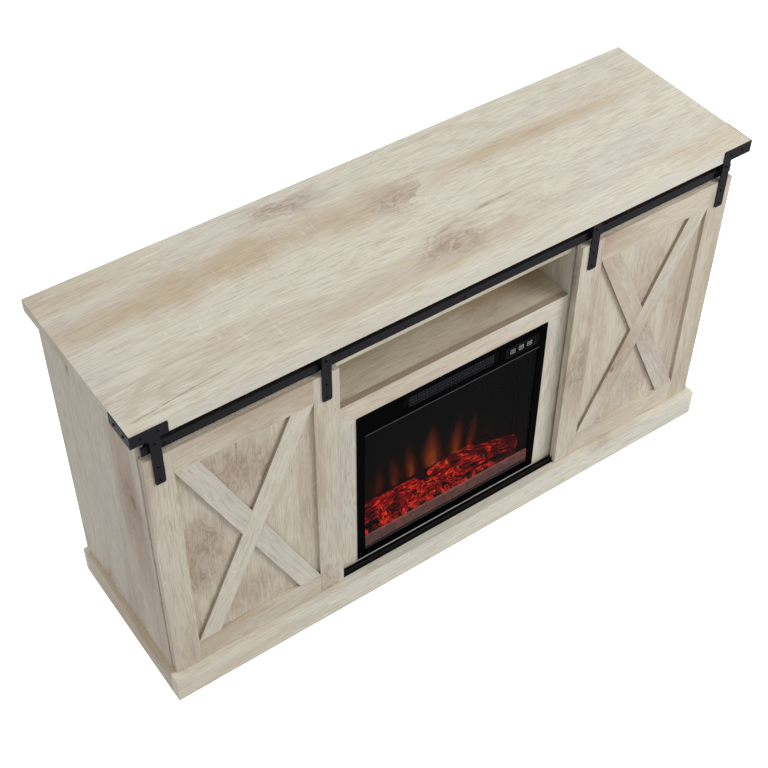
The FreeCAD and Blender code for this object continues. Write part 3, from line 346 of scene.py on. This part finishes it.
# The pane in front keeps back about half of the light, so the fire is strong enough to shine through.
FIRE_STRENGTH = 3.0
EMBER_BLACK = (0.010, 0.001, 0.001, 1)
EMBER_DEEP = (0.11, 0.001, 0.002, 1)
EMBER_RED = (0.27, 0.001, 0.002, 1)
EMBER_HOT = (1.0, 0.040, 0.016, 1)
EMBER_SPARK = (1.0, 0.16, 0.03, 1)


def heat_by_place(s):
    """Share of the full glow: strongest near the middle, duller to the left and dull at the right."""
    across = s.split(s.coordinates())["X"]
    left = s.maths("MULTIPLY", s.ease(across, -180 * MM, -30 * MM), 0.15)
    right = s.maths("MULTIPLY", s.ease(across, 60 * MM, 190 * MM), -0.6)
    return s.maths("ADD", s.maths("ADD", left, right), 0.9)


def glowing_wood(name):
    """Moulded resin bark lit from inside: black grooves, red ridges, bright veins."""
    s = Shader(name, 0.4)
    skin = s.coordinates("UV")
    bark = s.noise(s.mapped(skin, scale=(40, 200, 1)), 3.0, 0.6)
    braid = s.noise(s.mapped(skin, scale=(36, 80, 1)), 1.0)
    ridge = s.ease(bark, 0.44, 0.60)
    patch = s.ease(s.noise(s.mapped(s.coordinates(), scale=(30, 30, 30)), 1.0), 0.36, 0.62)
    heat = heat_by_place(s)
    mottled = s.maths("ADD", s.maths("MULTIPLY", patch, 0.6), 0.4)
    warm = s.maths("MULTIPLY", s.maths("MULTIPLY", ridge, mottled), heat)
    line = s.isoline(braid, 0.5, 0.03)
    vein = s.maths("MULTIPLY", line, s.maths("MULTIPLY", s.ease(patch, 0.1, 0.7), heat))
    glow = s.mix(s.ease(warm, 0.0, 0.3), EMBER_BLACK, EMBER_DEEP)
    glow = s.mix(s.ease(warm, 0.1, 0.8), glow, EMBER_RED)
    glow = s.mix(vein, glow, EMBER_HOT)
    spark = s.ease(s.noise(s.mapped(s.coordinates(), scale=(70, 70, 70)), 1.0), 0.62, 0.72)
    spark = s.maths("MULTIPLY", s.maths("MULTIPLY", spark, ridge), s.ease(heat, 0.9, 1.05))
    glow = s.mix(spark, glow, EMBER_SPARK)
    s.set(Base_Color=s.mix(ridge, (0.010, 0.003, 0.003, 1), (0.07, 0.010, 0.009, 1)),
          Emission_Color=glow, Emission_Strength=FIRE_STRENGTH)
    s.level("Specular IOR Level", 0.08)
    s.bump(s.maths("ADD", bark, line), 0.8, 1.2 * MM)
    return s.material


def glowing_coals(name):
    """Broken embers along the foot of the logs: dark crust with hot cracks."""
    s = Shader(name, 0.5)
    place = s.coordinates()
    cells = s.add("ShaderNodeTexVoronoi", {"Vector": s.mapped(place, scale=(150, 150, 150)), "Scale": 1.0},
                  feature="DISTANCE_TO_EDGE")
    crack = s.ease(cells.outputs["Distance"], 0.2, 0.0)
    patch = s.ease(s.noise(s.mapped(place, scale=(50, 50, 50)), 1.0), 0.42, 0.66)
    heat = s.ease(heat_by_place(s), 0.4, 0.95)
    glow = s.mix(s.maths("MULTIPLY", patch, heat), EMBER_BLACK, EMBER_RED)
    glow = s.mix(s.maths("MULTIPLY", s.maths("MULTIPLY", crack, patch), heat), glow, EMBER_HOT)
    s.set(Base_Color=(0.02, 0.008, 0.008, 1), Emission_Color=glow, Emission_Strength=FIRE_STRENGTH)
    s.bump(cells.outputs["Distance"], 0.8, 1.0 * MM)
    return s.material


def ash_strip(name):
    """Grey-pink moulded ash along the front, with a little red light in it."""
    s = Shader(name, 0.8)
    place = s.coordinates()
    grit = s.noise(s.mapped(place, scale=(210, 210, 210)), 3.0, 0.65)
    lump = s.noise(s.mapped(place, scale=(60, 60, 60)), 2.0)
    colour = s.mix(grit, srgb(70, 58, 60), srgb(166, 150, 148))
    glow = s.mix(s.ease(lump, 0.4, 0.75), (0.15, 0.082, 0.078, 1), (0.36, 0.098, 0.085, 1))
    s.set(Base_Color=colour, Emission_Color=s.mix(grit, (0.01, 0.007, 0.008, 1), glow),
          Emission_Strength=FIRE_STRENGTH)
    s.bump(grit, 0.9, 1.5 * MM)
    return s.material


def flame_picture(name):
    """Dark gloss screen that shows the flames stored in the mesh's glow layer."""
    s = Shader(name, 0.3)
    level = s.add("ShaderNodeAttribute", {}, attribute_name="glow").outputs["Fac"]
    wisp = s.noise(s.mapped(s.coordinates(), scale=(75, 1, 22)), 2.0)
    flame = s.maths("MULTIPLY", level, s.maths("ADD", s.maths("MULTIPLY", wisp, 1.3), 0.25))
    colour = s.mix(s.ease(flame, 0.0, 1.0), (0.12, 0.013, 0.002, 1), (0.30, 0.052, 0.007, 1))
    s.set(Base_Color=(0.006, 0.006, 0.007, 1), Emission_Color=s.mix(1.0, colour, flame, "MULTIPLY"),
          Emission_Strength=FIRE_STRENGTH)
    s.level("Specular IOR Level", 0.15)
    s.bump(wisp, 0.05, 0.1 * MM)
    return s.material


# ---------------------------------------------------------------- mesh helpers

def make_object(name, bm, material, smooth=True):
    mesh = bpy.data.meshes.new(name)
    bmesh.ops.recalc_face_normals(bm, faces=bm.faces)
    bm.to_mesh(mesh)
    bm.free()
    for face in mesh.polygons:
        face.use_smooth = smooth
    mesh.materials.append(material)
    item = bpy.data.objects.new(name, mesh)
    bpy.context.scene.collection.objects.link(item)
    return item


def add_bevel(item, width, segments=2):
    """Soften the sharp edges; coincident corners are joined first, because a split edge can't round."""
    weld = item.modifiers.new("join_corners", "WELD")
    weld.merge_threshold = 0.005 * MM
    bevel = item.modifiers.new("edge_bevel", "BEVEL")
    bevel.width = width
    bevel.segments = segments
    bevel.limit_method = "ANGLE"
    bevel.angle_limit = math.radians(40)
    bevel.harden_normals = True


def dress(names, material, bevel=None):
    """Give CAD nodes a material and, where asked, softened edges."""
    for name in names:
        item = nodes[name]
        item.data.materials.clear()
        item.data.materials.append(material)
        if bevel:
            add_bevel(item, bevel)


def limb(bm, start, end, radii, seed, flat=0.55, rings=56, sides=40):
    """Rough tapered log between two points, flattened front to back, with its length and girth as UV.

    Long grooves and shorter lumps roughen it, and it bends a little one way or the other by its seed.
    """
    layer = bm.loops.layers.uv.verify()
    axis = end - start
    length = axis.length
    upward = Vector((0, -1, 0)).cross(axis.normalized())
    offset = Vector((seed * 7.3, seed * 3.1, seed * 5.7))
    rows = []
    for ring in range(rings + 1):
        part = ring / rings
        bend = upward * math.sin(math.pi * part) * radii[0] * 0.25 * math.sin(seed * 2.1)
        centre = start + axis * part + bend
        taper = min(1.0, 9 * part + 0.55, 9 * (1 - part) + 0.55)
        radius = (radii[0] + (radii[1] - radii[0]) * part) * taper
        row = []
        for side in range(sides):
            angle = 2 * math.pi * side / sides
            around = Vector((math.cos(angle), math.sin(angle), 0))
            groove = noise.noise(Vector((part * length * 14, *(around * 3.2).xy)) + offset)
            lump = noise.noise(Vector((part * length * 45, *(around * 1.3).xy)) + offset)
            reach = radius * (1 + 0.20 * groove + 0.13 * lump)
            point = upward * around.x + Vector((0, flat, 0)) * around.y
            row.append(bm.verts.new(centre + point * reach))
        rows.append(row)
    for ring in range(rings):
        for side in range(sides):
            following = (side + 1) % sides
            face = bm.faces.new((rows[ring][side], rows[ring][following],
                                 rows[ring + 1][following], rows[ring + 1][side]))
            corners = ((ring, side), (ring, side + 1), (ring + 1, side + 1), (ring + 1, side))
            for loop, (along, around_step) in zip(face.loops, corners):
                girth = around_step / sides * 2 * math.pi * radii[0]
                loop[layer].uv = (along / rings * length + seed, girth)
    for row in (rows[0], rows[-1]):
        bm.faces.new(row)


def coal(bm, centre, radius, seed):
    """Broken lump of ember."""
    made = bmesh.ops.create_icosphere(bm, subdivisions=3, radius=radius)
    offset = Vector((seed * 4.1, seed * 1.7, seed * 2.9))
    for vert in made["verts"]:
        rough = noise.noise(vert.co * (1.4 / radius) + offset)
        sharp = noise.noise(vert.co * (3.6 / radius) + offset)
        vert.co = vert.co * (1 + 0.4 * rough + 0.15 * sharp) + centre


def stroke(bm, points, width, plane, closed=False):
    """Flat ribbon of even width through points (x, z), facing the front at y = plane."""
    flat = [Vector(point) for point in points]
    count = len(flat)
    pairs = []
    for number, point in enumerate(flat):
        before = flat[(number - 1) % count] if closed or number else point
        after = flat[(number + 1) % count] if closed or number < count - 1 else point
        inward = (point - before).normalized() if point != before else (after - point).normalized()
        outward = (after - point).normalized() if after != point else inward
        bisector = Vector((-(inward + outward).y, (inward + outward).x)).normalized()
        stretch = max(0.5, bisector.dot(Vector((-outward.y, outward.x))))
        reach = bisector * width / 2 / stretch
        pairs.append([bm.verts.new((p.x, plane, p.y)) for p in (point - reach, point + reach)])
    steps = range(count if closed else count - 1)
    for number in steps:
        low, high = pairs[number], pairs[(number + 1) % count]
        bm.faces.new((low[0], high[0], high[1], low[1]))


def rounded_square(centre, width, height, radius, steps=5):
    """Corner points of a rectangle with round corners, as (x, z)."""
    points = []
    for quarter, (right, up) in enumerate(((1, 1), (-1, 1), (-1, -1), (1, -1))):
        middle = Vector((centre[0] + right * (width / 2 - radius), centre[1] + up * (height / 2 - radius)))
        for step in range(steps + 1):
            angle = math.pi / 2 * (quarter + step / steps)
            points.append(middle + radius * Vector((math.cos(angle), math.sin(angle))))
    return points


# ---------------------------------------------------------------- pieces made here

def middle_of(node):
    low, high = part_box(node)
    return (low + high) / 2


# The log set's height, its gap to the screen's ends, and how far the two long logs lie in front of
# the screen, the branches in front of the logs and the coals in front of the branches.
PILE_HEIGHT = 73 * MM
END_GAP = 6 * MM
LOG_GAP = 17 * MM
BRANCH_GAP = 9 * MM
COAL_GAP = 5 * MM
COAL_COUNT = 34


def make_logs():
    """Moulded log set: two long logs, a crossed pile between them and embers at its foot."""
    wood = glowing_wood("glowing_bark")
    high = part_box("rear_log")[1]
    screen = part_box("flame_screen")[0].y
    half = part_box("flame_screen")[1].x - END_GAP
    floor = high.z - PILE_HEIGHT
    deep = screen - LOG_GAP
    near = deep - BRANCH_GAP

    def at(across, depth, level):
        """Place by share of the half width, depth, and millimetres above the pile's foot."""
        return Vector((across * half, depth, floor + level * MM))

    # Name, start, end, start and end radius in millimetres.
    limbs = [
        ("log_left", at(-0.99, deep, 36), at(-0.22, deep, 52), (25, 21)),
        ("log_right", at(0.99, deep, 18), at(0.18, deep, 54), (21, 25)),
        ("branch_rising", at(-0.50, near, 12), at(0.28, near, 72), (12, 10)),
        ("branch_falling", at(-0.36, near, 66), at(0.30, near, 20), (10, 12)),
        ("branch_low", at(-0.62, near, 18), at(-0.02, near, 26), (11, 9)),
        ("branch_right", at(0.10, near, 22), at(0.72, near, 38), (11, 9)),
        ("branch_top", at(-0.12, deep, 70), at(0.44, deep, 76), (10, 12)),
        ("stub_left", at(-0.72, near, 60), at(-0.66, near, 14), (11, 14)),
        ("stub_middle", at(-0.08, near - 3 * MM, 58), at(-0.02, near - 3 * MM, 14), (8, 11)),
        ("stub_right", at(0.52, near, 64), at(0.58, near, 22), (9, 10)),
    ]
    for number, (name, start, end, radii) in enumerate(limbs):
        bm = bmesh.new()
        limb(bm, start, end, [radius * MM for radius in radii], number + 1)
        piece = make_object(name, bm, wood)
        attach(piece, "cabinet")
        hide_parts("rear_log")

    bm = bmesh.new()
    for number in range(COAL_COUNT):
        part = (number + 0.5) / COAL_COUNT * 2 - 1
        chance = noise.noise(Vector((number * 1.37, 0.5, 0.2)))
        size = (7.5 + 3.5 * chance) * MM
        coal(bm, at(part * 0.94, near - COAL_GAP, 6 + 9 * chance), size, number)
    embers = make_object("ember_coals", bm, glowing_coals("glowing_coals"))
    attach(embers, "cabinet")
    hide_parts("front_log")


# Flames on the screen: place across, tip height and half width in millimetres, and strength.
FLAMES = [
    (-142, 92, 16, 0.45),
    (-104, 104, 20, 0.50),
    (-60, 116, 21, 0.75),
    (-2, 134, 34, 1.00),
    (62, 116, 26, 0.80),
    (100, 104, 18, 0.60),
]


# How far the flames' foot hides behind the logs, and the size of the screen's grid.
FLAME_SINK = 10 * MM
SCREEN_CELL = 2.5 * MM


def flame_level(across, rise):
    """Glow at a place on the screen, in millimetres across and above the flames' foot."""
    total = 0.0
    for number, (place, tip, width, strength) in enumerate(FLAMES):
        part = min(max(rise / tip, 0.0), 1.0)
        sway = 5 * math.sin(3.2 * part + number)
        spread = width * math.sqrt(1 - part) * (0.65 + 0.5 * math.sin(math.pi * part)) + 0.5
        side = max(0.0, 1 - ((across - place - sway) / spread) ** 2)
        total += strength * side ** 1.6 * (1 - part) ** 0.8
    return total if rise > 0 else 0.0


def make_flame_screen():
    """The screen as a fine grid that carries the flames' glow."""
    low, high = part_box("flame_screen")
    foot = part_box("rear_log")[1].z - FLAME_SINK
    columns = round((high.x - low.x) / SCREEN_CELL)
    rows = round((high.z - low.z) / SCREEN_CELL)
    bm = bmesh.new()
    glow = bm.verts.layers.float.new("glow")
    grid = []
    for row in range(rows + 1):
        level = low.z + (high.z - low.z) * row / rows
        line = []
        for column in range(columns + 1):
            across = low.x + (high.x - low.x) * column / columns
            vert = bm.verts.new((across, low.y, level))
            vert[glow] = flame_level(across / MM, (level - foot) / MM)
            line.append(vert)
        grid.append(line)
    for row in range(rows):
        for column in range(columns):
            bm.faces.new((grid[row][column], grid[row][column + 1],
                          grid[row + 1][column + 1], grid[row + 1][column]))
    screen = make_object("flame_backdrop", bm, flame_picture("flame_picture"))
    thicken(screen, high.y - low.y)
    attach(screen, "cabinet")
    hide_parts("flame_screen")


def thicken(item, depth):
    """Give a flat sheet thickness towards the back, whichever way its faces point."""
    solid = item.modifiers.new("thickness", "SOLIDIFY")
    solid.thickness = depth
    solid.offset = 1.0 if item.data.polygons[0].normal.y > 0 else -1.0


# The glass's edge behind the frame, the thickness of the strips that carry the painted highlights, how far
# the strips' middles lie above or below the window's edges and the frame's foot, and how deep the lower two
# are set back.
GLASS_EDGE = 7 * MM
STRIP_THICK = 0.4 * MM
LIP_RISE = 1.5 * MM
SILL_DROP = 1.2 * MM
FOOT_RISE = 2.5 * MM
SET_BACK = 1.2 * MM


def make_highlight_strips():
    """Strips of painted highlight: grey above and below the glass and near white along the insert's foot,
    standing in for light caught by the frame's edges.
    """
    frame_low, frame_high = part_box("insert_front_frame")
    glass_low, glass_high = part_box("viewing_glass")
    left_edge, right_edge = glass_low.x + GLASS_EDGE, glass_high.x - GLASS_EDGE
    set_back = frame_low.y + SET_BACK
    # Left and right ends, height of the middle, and the plane of the strip's back.
    lip = (left_edge, right_edge, glass_high.z - GLASS_EDGE + LIP_RISE, frame_low.y)
    sill = (left_edge, right_edge, glass_low.z + GLASS_EDGE - SILL_DROP, set_back)
    foot = (frame_low.x, frame_high.x, frame_low.z + FOOT_RISE, set_back)
    # Painted highlights: the grey and near-white strips stand in for light caught on the frame's lip, sill
    # and foot.
    grey = coated("highlight_grey", srgb(62, 62, 66), srgb(86, 87, 91), 0.35, 0.4)
    bright = coated("highlight_bright", srgb(232, 233, 236), srgb(246, 247, 250), 0.35, 0.5)
    strips = (("lip_highlight", 2.2 * MM, lip, grey), ("sill_highlight", 1.6 * MM, sill, grey),
              ("foot_highlight", 1.4 * MM, foot, bright))
    for name, width, (left, right, level, face), material in strips:
        bm = bmesh.new()
        stroke(bm, [(left, level), (right, level)], width, face - STRIP_THICK)
        highlight_strip = make_object(name, bm, material, smooth=False)
        thicken(highlight_strip, STRIP_THICK)
        add_bevel(highlight_strip, 0.15 * MM)
        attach(highlight_strip, "cabinet")


def power_symbol(centre, size):
    """Ring with a gap at the top, and a bar in the gap."""
    turns = [math.radians(125 + 290 * step / 20) for step in range(21)]
    ring = [centre + size * 0.5 * Vector((math.cos(turn), math.sin(turn))) for turn in turns]
    bar = [centre + Vector((0, size * reach)) for reach in (0.05, 0.6)]
    return [ring, bar]


def flame_symbol(centre, size):
    """Teardrop outline."""
    points = []
    for step in range(25):
        turn = 2 * math.pi * step / 24
        across = 0.45 * math.sin(turn) * (1 - 0.5 * max(0.0, math.cos(turn)))
        points.append(centre + size * Vector((across, 0.6 * math.cos(turn))))
    return [points]


def heat_symbol(centre, size):
    """Three rising waves."""
    waves = []
    for place in (-0.4, 0.0, 0.4):
        steps = [step / 10 for step in range(11)]
        waves.append([centre + size * Vector((place + 0.09 * math.sin(2 * math.pi * step), step - 0.5))
                      for step in steps])
    return waves


# The print's thickness, its line widths, and the size of a key's printed square and its symbol.
PRINT_THICK = 0.1 * MM
SQUARE_LINE = 0.5 * MM
SYMBOL_LINE = 0.45 * MM
SQUARE_WIDE = 11 * MM
SQUARE_TALL = 10 * MM
SYMBOL_SIZE = 5 * MM

# How much longer the outline is than the row of keys, how much lower than the panel, and its corners.
OUTLINE_LONGER = 14 * MM
OUTLINE_LOWER = 4 * MM
OUTLINE_CORNER = 1 * MM


def make_symbols():
    """Printed squares with plain symbols on the keys, and the thin frame round them."""
    white = lit_mark("lit_mark")
    for node, symbol in (("power_key", power_symbol), ("flame_key", flame_symbol),
                         ("heat_key", heat_symbol)):
        low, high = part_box(node)
        centre = Vector(((low.x + high.x) / 2, (low.z + high.z) / 2))
        plane = low.y - PRINT_THICK
        bm = bmesh.new()
        square = rounded_square(centre, SQUARE_WIDE, SQUARE_TALL, 0.5 * MM)
        stroke(bm, square, SQUARE_LINE, plane, closed=True)
        for line in symbol(centre, SYMBOL_SIZE):
            stroke(bm, line, SYMBOL_LINE, plane)
        mark = make_object(f"{node}_symbol", bm, white, smooth=False)
        thicken(mark, PRINT_THICK)
        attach(mark, node)
    low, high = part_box("control_panel")
    first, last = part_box("power_key"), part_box("heat_key")
    centre = Vector(((first[0].x + last[1].x) / 2, (low.z + high.z) / 2))
    bm = bmesh.new()
    outline = rounded_square(centre, last[1].x - first[0].x + OUTLINE_LONGER,
                             high.z - low.z - OUTLINE_LOWER, OUTLINE_CORNER)
    stroke(bm, outline, SQUARE_LINE, low.y - PRINT_THICK, closed=True)
    line = make_object("control_outline", bm, coated("outline_grey", srgb(46, 47, 50), srgb(60, 60, 64), 0.4),
                       smooth=False)
    thicken(line, PRINT_THICK)
    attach(line, "cabinet")


# The ember light's power, how much shorter it is than the strip, its width, how far it lies behind
# and above the strip's top rear edge, and its tilt.
EMBER_POWER = 0.05
EMBER_SHORTER = 60 * MM
EMBER_WIDTH = 8 * MM
EMBER_OFF = 6 * MM
EMBER_TILT = math.radians(-40)


def make_fire_light():
    """Red light thrown forward by the embers onto the ash strip."""
    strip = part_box("ember_strip")
    lamp = bpy.data.lights.new("ember_light", "AREA")
    lamp.shape = "RECTANGLE"
    lamp.size = strip[1].x - strip[0].x - EMBER_SHORTER
    lamp.size_y = EMBER_WIDTH
    lamp.energy = EMBER_POWER
    lamp.color = (1.0, 0.25, 0.16)
    item = bpy.data.objects.new("ember_light", lamp)
    item.location = (0, strip[1].y + EMBER_OFF, strip[1].z + EMBER_OFF)
    item.rotation_euler = Euler((EMBER_TILT, 0, 0))
    bpy.context.scene.collection.objects.link(item)


# ---------------------------------------------------------------- CAD nodes' finishes

def each_side(*names):
    return [f"{side}_{name}" for side in SIDES for name in names]


def top_bands():
    """Two long tan bands in the top: one left of the middle at the back, one nearer the front."""
    low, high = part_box("top_panel")
    length, depth = high.x - low.x, high.y - low.y
    middle = middle_of("top_panel")
    back = middle + Vector((-0.24 * length, 0.18 * depth, 0))
    front = middle + Vector((-0.05 * length, -0.34 * depth, 0))
    return [(back, (0.40 * length, 0.17 * depth, 1), 1.0), (front, (0.35 * length, 0.12 * depth, 1), 0.8)]


def dress_cabinet():
    edge = 0.7 * MM
    dress(["top_panel"], oak("oak_top", ALONG_X, 241, knotty=0.55, banding=(FACES_Y, TOP_BAND, 0.75),
                             bands=top_bands()), edge)
    dress(each_side("side_panel"), oak("oak_sides", ALONG_Z, 282, (0.98, 0.97, 0.99, 1), warm=ROSE), edge)
    dress(each_side("partition"), oak("oak_partition", ALONG_Z, 3), edge)
    # Painted light: the shelves' warmer tint stands in for warm light bounced off the wood inside the niche
    # and bays.
    dress(["niche_shelf", "bottom_panel"] + each_side("bay_shelf"),
          oak("oak_shelf_bounce_warmed", ALONG_X, 124, (0.985, 0.93, 0.84, 1), 0.4), edge)
    dress(["header_rail"], oak("oak_header", ALONG_X, 5, knotty=0.1), edge)
    # Painted light: the rail's lifted tint makes up for the shade it sits in below the niche.
    dress(["fascia_top_rail"],
          oak("oak_fascia_rail_lightened", ALONG_X, 6, (1.07, 1.08, 1.12, 1), 0.3, (FACES_Z, BROWN_EDGE, 0.75), CREAM),
          edge)
    dress(["fascia_stiles"], oak("oak_fascia_stile", ALONG_Z, 107, knotty=0.4), edge)
    dress(["plinth_front_board", "plinth_rear_board"],
          oak("oak_plinth", ALONG_X, 108, (1.12, 1.15, 1.18, 1), 0.2, (FACES_Z, PLINTH_EDGE, 0.2), CREAM),
          edge)
    dress(["plinth_side_boards"], oak("oak_plinth_side", ALONG_Y, 9, (1.02, 1.0, 0.97, 1),
                                      banding=(FACES_Z, PLINTH_EDGE, 0.55), warm=ROSE), edge)
    dress(["bay_back_panels", "niche_back_panel"], hardboard("back_hardboard"))
    dress(["shelf_pins"], brushed("zinc_pin", (0.66, 0.67, 0.68, 1)))


# Swirls in the door panels: side, place across and above the panel's middle, reach across and up
# (all in millimetres) and strength.
DOOR_FIGURES = [
    ("left", -15, 180, 125, 105, 0.9),
    ("left", -112, 0, 85, 160, 0.9),
    ("left", -20, -185, 110, 85, 0.5),
    ("right", 15, 130, 80, 160, 0.5),
    ("right", 15, -170, 80, 110, 0.4),
    ("right", 110, 0, 60, 150, 0.35),
]


# Width of a brace, measured level across the door; the rest of its reach is the run of its slope.
BRACE_END = 48 * MM


def dress_doors():
    edge = 0.8 * MM
    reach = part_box("left_long_brace")[1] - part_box("left_long_brace")[0]
    slope = math.atan2(reach.z, reach.x - BRACE_END)
    figures = []
    for side, across, up, wide, tall, strength in DOOR_FIGURES:
        centre = middle_of(f"{side}_door_panel") + Vector((across, 0, up)) * MM
        figures.append((centre, (wide * MM, 1, tall * MM), strength))
    dress(each_side("door_panel"), oak("oak_door_panel", ALONG_Z, 131, (0.97, 0.95, 0.93, 1), 1.0,
                                       warm=ROSE, figures=figures), edge)
    dress(each_side("door_stiles"),
          oak("oak_stile", ALONG_Z, 32, (0.955, 0.94, 0.92, 1), 0.4, warm=ROSE), edge)
    dress(each_side("door_rails"), oak("oak_rail", ALONG_X, 13, (0.95, 0.91, 0.87, 1), 0.3, warm=ROSE), edge)
    rising_edge = ((-math.sin(slope), 0, math.cos(slope)), BRACE_EDGE, 0.7)
    falling_edge = ((math.sin(slope), 0, math.cos(slope)), BRACE_EDGE, 0.7)
    dress(each_side("long_brace"),
          oak("oak_brace_rising", (0, slope, 0), 114, banding=rising_edge, warm=ROSE), edge)
    dress(each_side("short_braces"),
          oak("oak_brace_falling", (0, math.pi - slope, 0), 115, banding=falling_edge, warm=ROSE), edge)


def dress_hardware():
    black = coated("black_coat", srgb(20, 20, 27), srgb(30, 30, 39), 0.34, 0.22)
    dress(["track_rail", "corner_brackets"] + each_side("hangers"), black, 0.4 * MM)
    # Painted shade as well as a real black part: the near-black spacer fills the band of deep shade between
    # the top's underside and the track.
    dress(["track_spacer"], coated("spacer_shade_black", srgb(14, 14, 16), srgb(20, 20, 23), 0.5, 0.15))
    dress(["bracket_screws", "track_screws"] + each_side("hanger_bolts"),
          coated("black_screw", srgb(4, 4, 5), srgb(8, 8, 9), 0.14, 0.14))
    dress(["door_guide_channel"], coated("black_channel", srgb(16, 16, 17), srgb(24, 24, 26), 0.5))
    rollers = [f"{side}_{place}_roller" for side in SIDES for place in ("outer", "inner")]
    dress(rollers, coated("roller_nylon", srgb(30, 30, 33), srgb(44, 44, 48), 0.4), 0.3 * MM)


def dress_insert():
    dress(["insert_front_frame"], coated("insert_coat", srgb(3, 3, 4), srgb(6, 6, 7), 0.4, 0.01),
          0.5 * MM)
    dress(["vent_grille"], coated("grille_coat", srgb(5, 5, 6), srgb(9, 9, 10), 0.4, 0.02), 0.5 * MM)
    grille = nodes["vent_grille"]
    # Painted highlight: the bevels round the slots take a lighter grey that stands in for light caught on the
    # slot rims.
    grille.data.materials.append(coated("slot_rim_highlight", srgb(70, 70, 74), srgb(100, 100, 104), 0.35, 0.3))
    grille.modifiers["edge_bevel"].material = 1
    dress(["control_panel"], coated("panel_gloss", srgb(5, 5, 7), srgb(8, 8, 10), 0.2, 0.03), 0.2 * MM)
    dress(["power_key", "flame_key", "heat_key"],
          coated("key_gloss", srgb(8, 8, 10), srgb(14, 14, 16), 0.2, 0.05), 0.3 * MM)
    dress(["viewing_glass"], smoked_glass("smoked_glass"))
    dress(["insert_housing"], coated("housing_coat", srgb(20, 20, 22), srgb(32, 32, 34), 0.55))
    dress(["ember_strip"], ash_strip("ash_strip"))
    dress(["led_board"], coated("board_green", srgb(18, 60, 34), srgb(30, 80, 48), 0.4))
    dress(["flame_motor"], brushed("motor_steel", (0.5, 0.5, 0.52, 1), (0.02, 1, 1)))
    dress(["flame_spindle"], brushed("mirror_fins", (0.85, 0.85, 0.87, 1)))
    dress(["blower_wheel", "heater_element"], brushed("fin_aluminium", (0.7, 0.71, 0.72, 1)))
    dress(["cord_gland"], coated("gland_plastic", srgb(14, 14, 15), srgb(24, 24, 25), 0.5))


# ---------------------------------------------------------------- floor, light and camera

# Strength of the dome below and above the horizon, and the key lamp's power, size and place.
DOME_LOW = 0.47
DOME_HIGH = 0.75
KEY_POWER = 55
KEY_SIZE = 1.4
KEY_PLACE = (2.0, -2.2, 2.4)

# The floor's half width, its cells each way and the radius inside which it is flat, in metres.
FLOOR_REACH = 40
FLOOR_CELLS = 32
FLOOR_FLAT = 9

# The camera's lens and film in millimetres, its turns, its distance, and the point it looks at:
# across, back and as a share of the cabinet's height.
LENS = 69.34
FILM = 36
HEADING = math.radians(35.373)
PITCH = math.radians(46.318)
ROLL = math.radians(0.536)
DISTANCE = 3.0106
AIM_ACROSS = -0.0529
AIM_BACK = -0.0005
AIM_SHARE = 0.462


def make_floor():
    """Plain white sweep, flat round the cabinet and rising far off, seen by the camera only."""
    s = Shader("floor_white", 0.9)
    cloud = s.noise(s.mapped(s.coordinates(), scale=(0.6, 0.6, 0.6)), 1.0)
    s.set(Base_Color=s.mix(cloud, (0.90, 0.90, 0.90, 1), (0.92, 0.92, 0.92, 1)),
          Emission_Color=(1, 1, 1, 1), Emission_Strength=1.0)
    bm = bmesh.new()
    bmesh.ops.create_grid(bm, x_segments=FLOOR_CELLS, y_segments=FLOOR_CELLS, size=FLOOR_REACH)
    for vert in bm.verts:
        beyond = max(0.0, vert.co.xy.length - FLOOR_FLAT)
        vert.co.z = beyond ** 2 / FLOOR_FLAT
    floor = make_object("floor", bm, s.material)
    floor.location.z = -0.5 * MM
    floor.visible_diffuse = False
    floor.visible_glossy = False
    floor.visible_transmission = False
    floor.visible_shadow = False


def area_light(name, place, energy, size):
    """Soft lamp aimed at the middle of the cabinet."""
    lamp = bpy.data.lights.new(name, "AREA")
    lamp.energy = energy
    lamp.size = size
    item = bpy.data.objects.new(name, lamp)
    item.location = place
    target = Vector((0, 0, 0.4))
    item.rotation_euler = (target - item.location).to_track_quat("-Z", "Y").to_euler()
    bpy.context.scene.collection.objects.link(item)


def make_light():
    """Soft dome, brighter from above than from below, and one soft key lamp from the right front."""
    world = bpy.data.worlds.new("studio")
    world.use_nodes = True
    tree = world.node_tree
    direction = tree.nodes.new("ShaderNodeTexCoord").outputs["Generated"]
    parts = tree.nodes.new("ShaderNodeSeparateXYZ")
    tree.links.new(direction, parts.inputs["Vector"])
    ramp = tree.nodes.new("ShaderNodeMapRange")
    for socket, value in (("From Min", -0.3), ("From Max", 0.3), ("To Min", DOME_LOW), ("To Max", DOME_HIGH)):
        ramp.inputs[socket].default_value = value
    tree.links.new(parts.outputs["Z"], ramp.inputs["Value"])
    tree.links.new(ramp.outputs["Result"], tree.nodes["Background"].inputs["Strength"])
    tree.nodes["Background"].inputs["Color"].default_value = (1, 1, 1, 1)
    bpy.context.scene.world = world
    area_light("key", Vector(KEY_PLACE), KEY_POWER, KEY_SIZE)


def make_camera():
    """High three-quarter view from the front left."""
    camera = bpy.data.cameras.new("camera")
    camera.sensor_width = FILM
    camera.lens = LENS
    item = bpy.data.objects.new("camera", camera)
    turn = (Matrix.Rotation(-HEADING, 4, "Z") @ Matrix.Rotation(math.pi / 2 - PITCH, 4, "X")
            @ Matrix.Rotation(ROLL, 4, "Z"))
    height = cad_box[1][2] - cad_box[0][2]
    aim = Vector((AIM_ACROSS, AIM_BACK, AIM_SHARE * height))
    item.matrix_world = Matrix.Translation(aim) @ turn @ Matrix.Translation((0, 0, DISTANCE))
    bpy.context.scene.collection.objects.link(item)
    bpy.context.scene.camera = item


dress_cabinet()
dress_doors()
dress_hardware()
dress_insert()
make_logs()
make_flame_screen()
make_highlight_strips()
make_symbols()
make_fire_light()
make_floor()
make_light()
make_camera()
bpy.context.scene.view_settings.view_transform = "Standard"
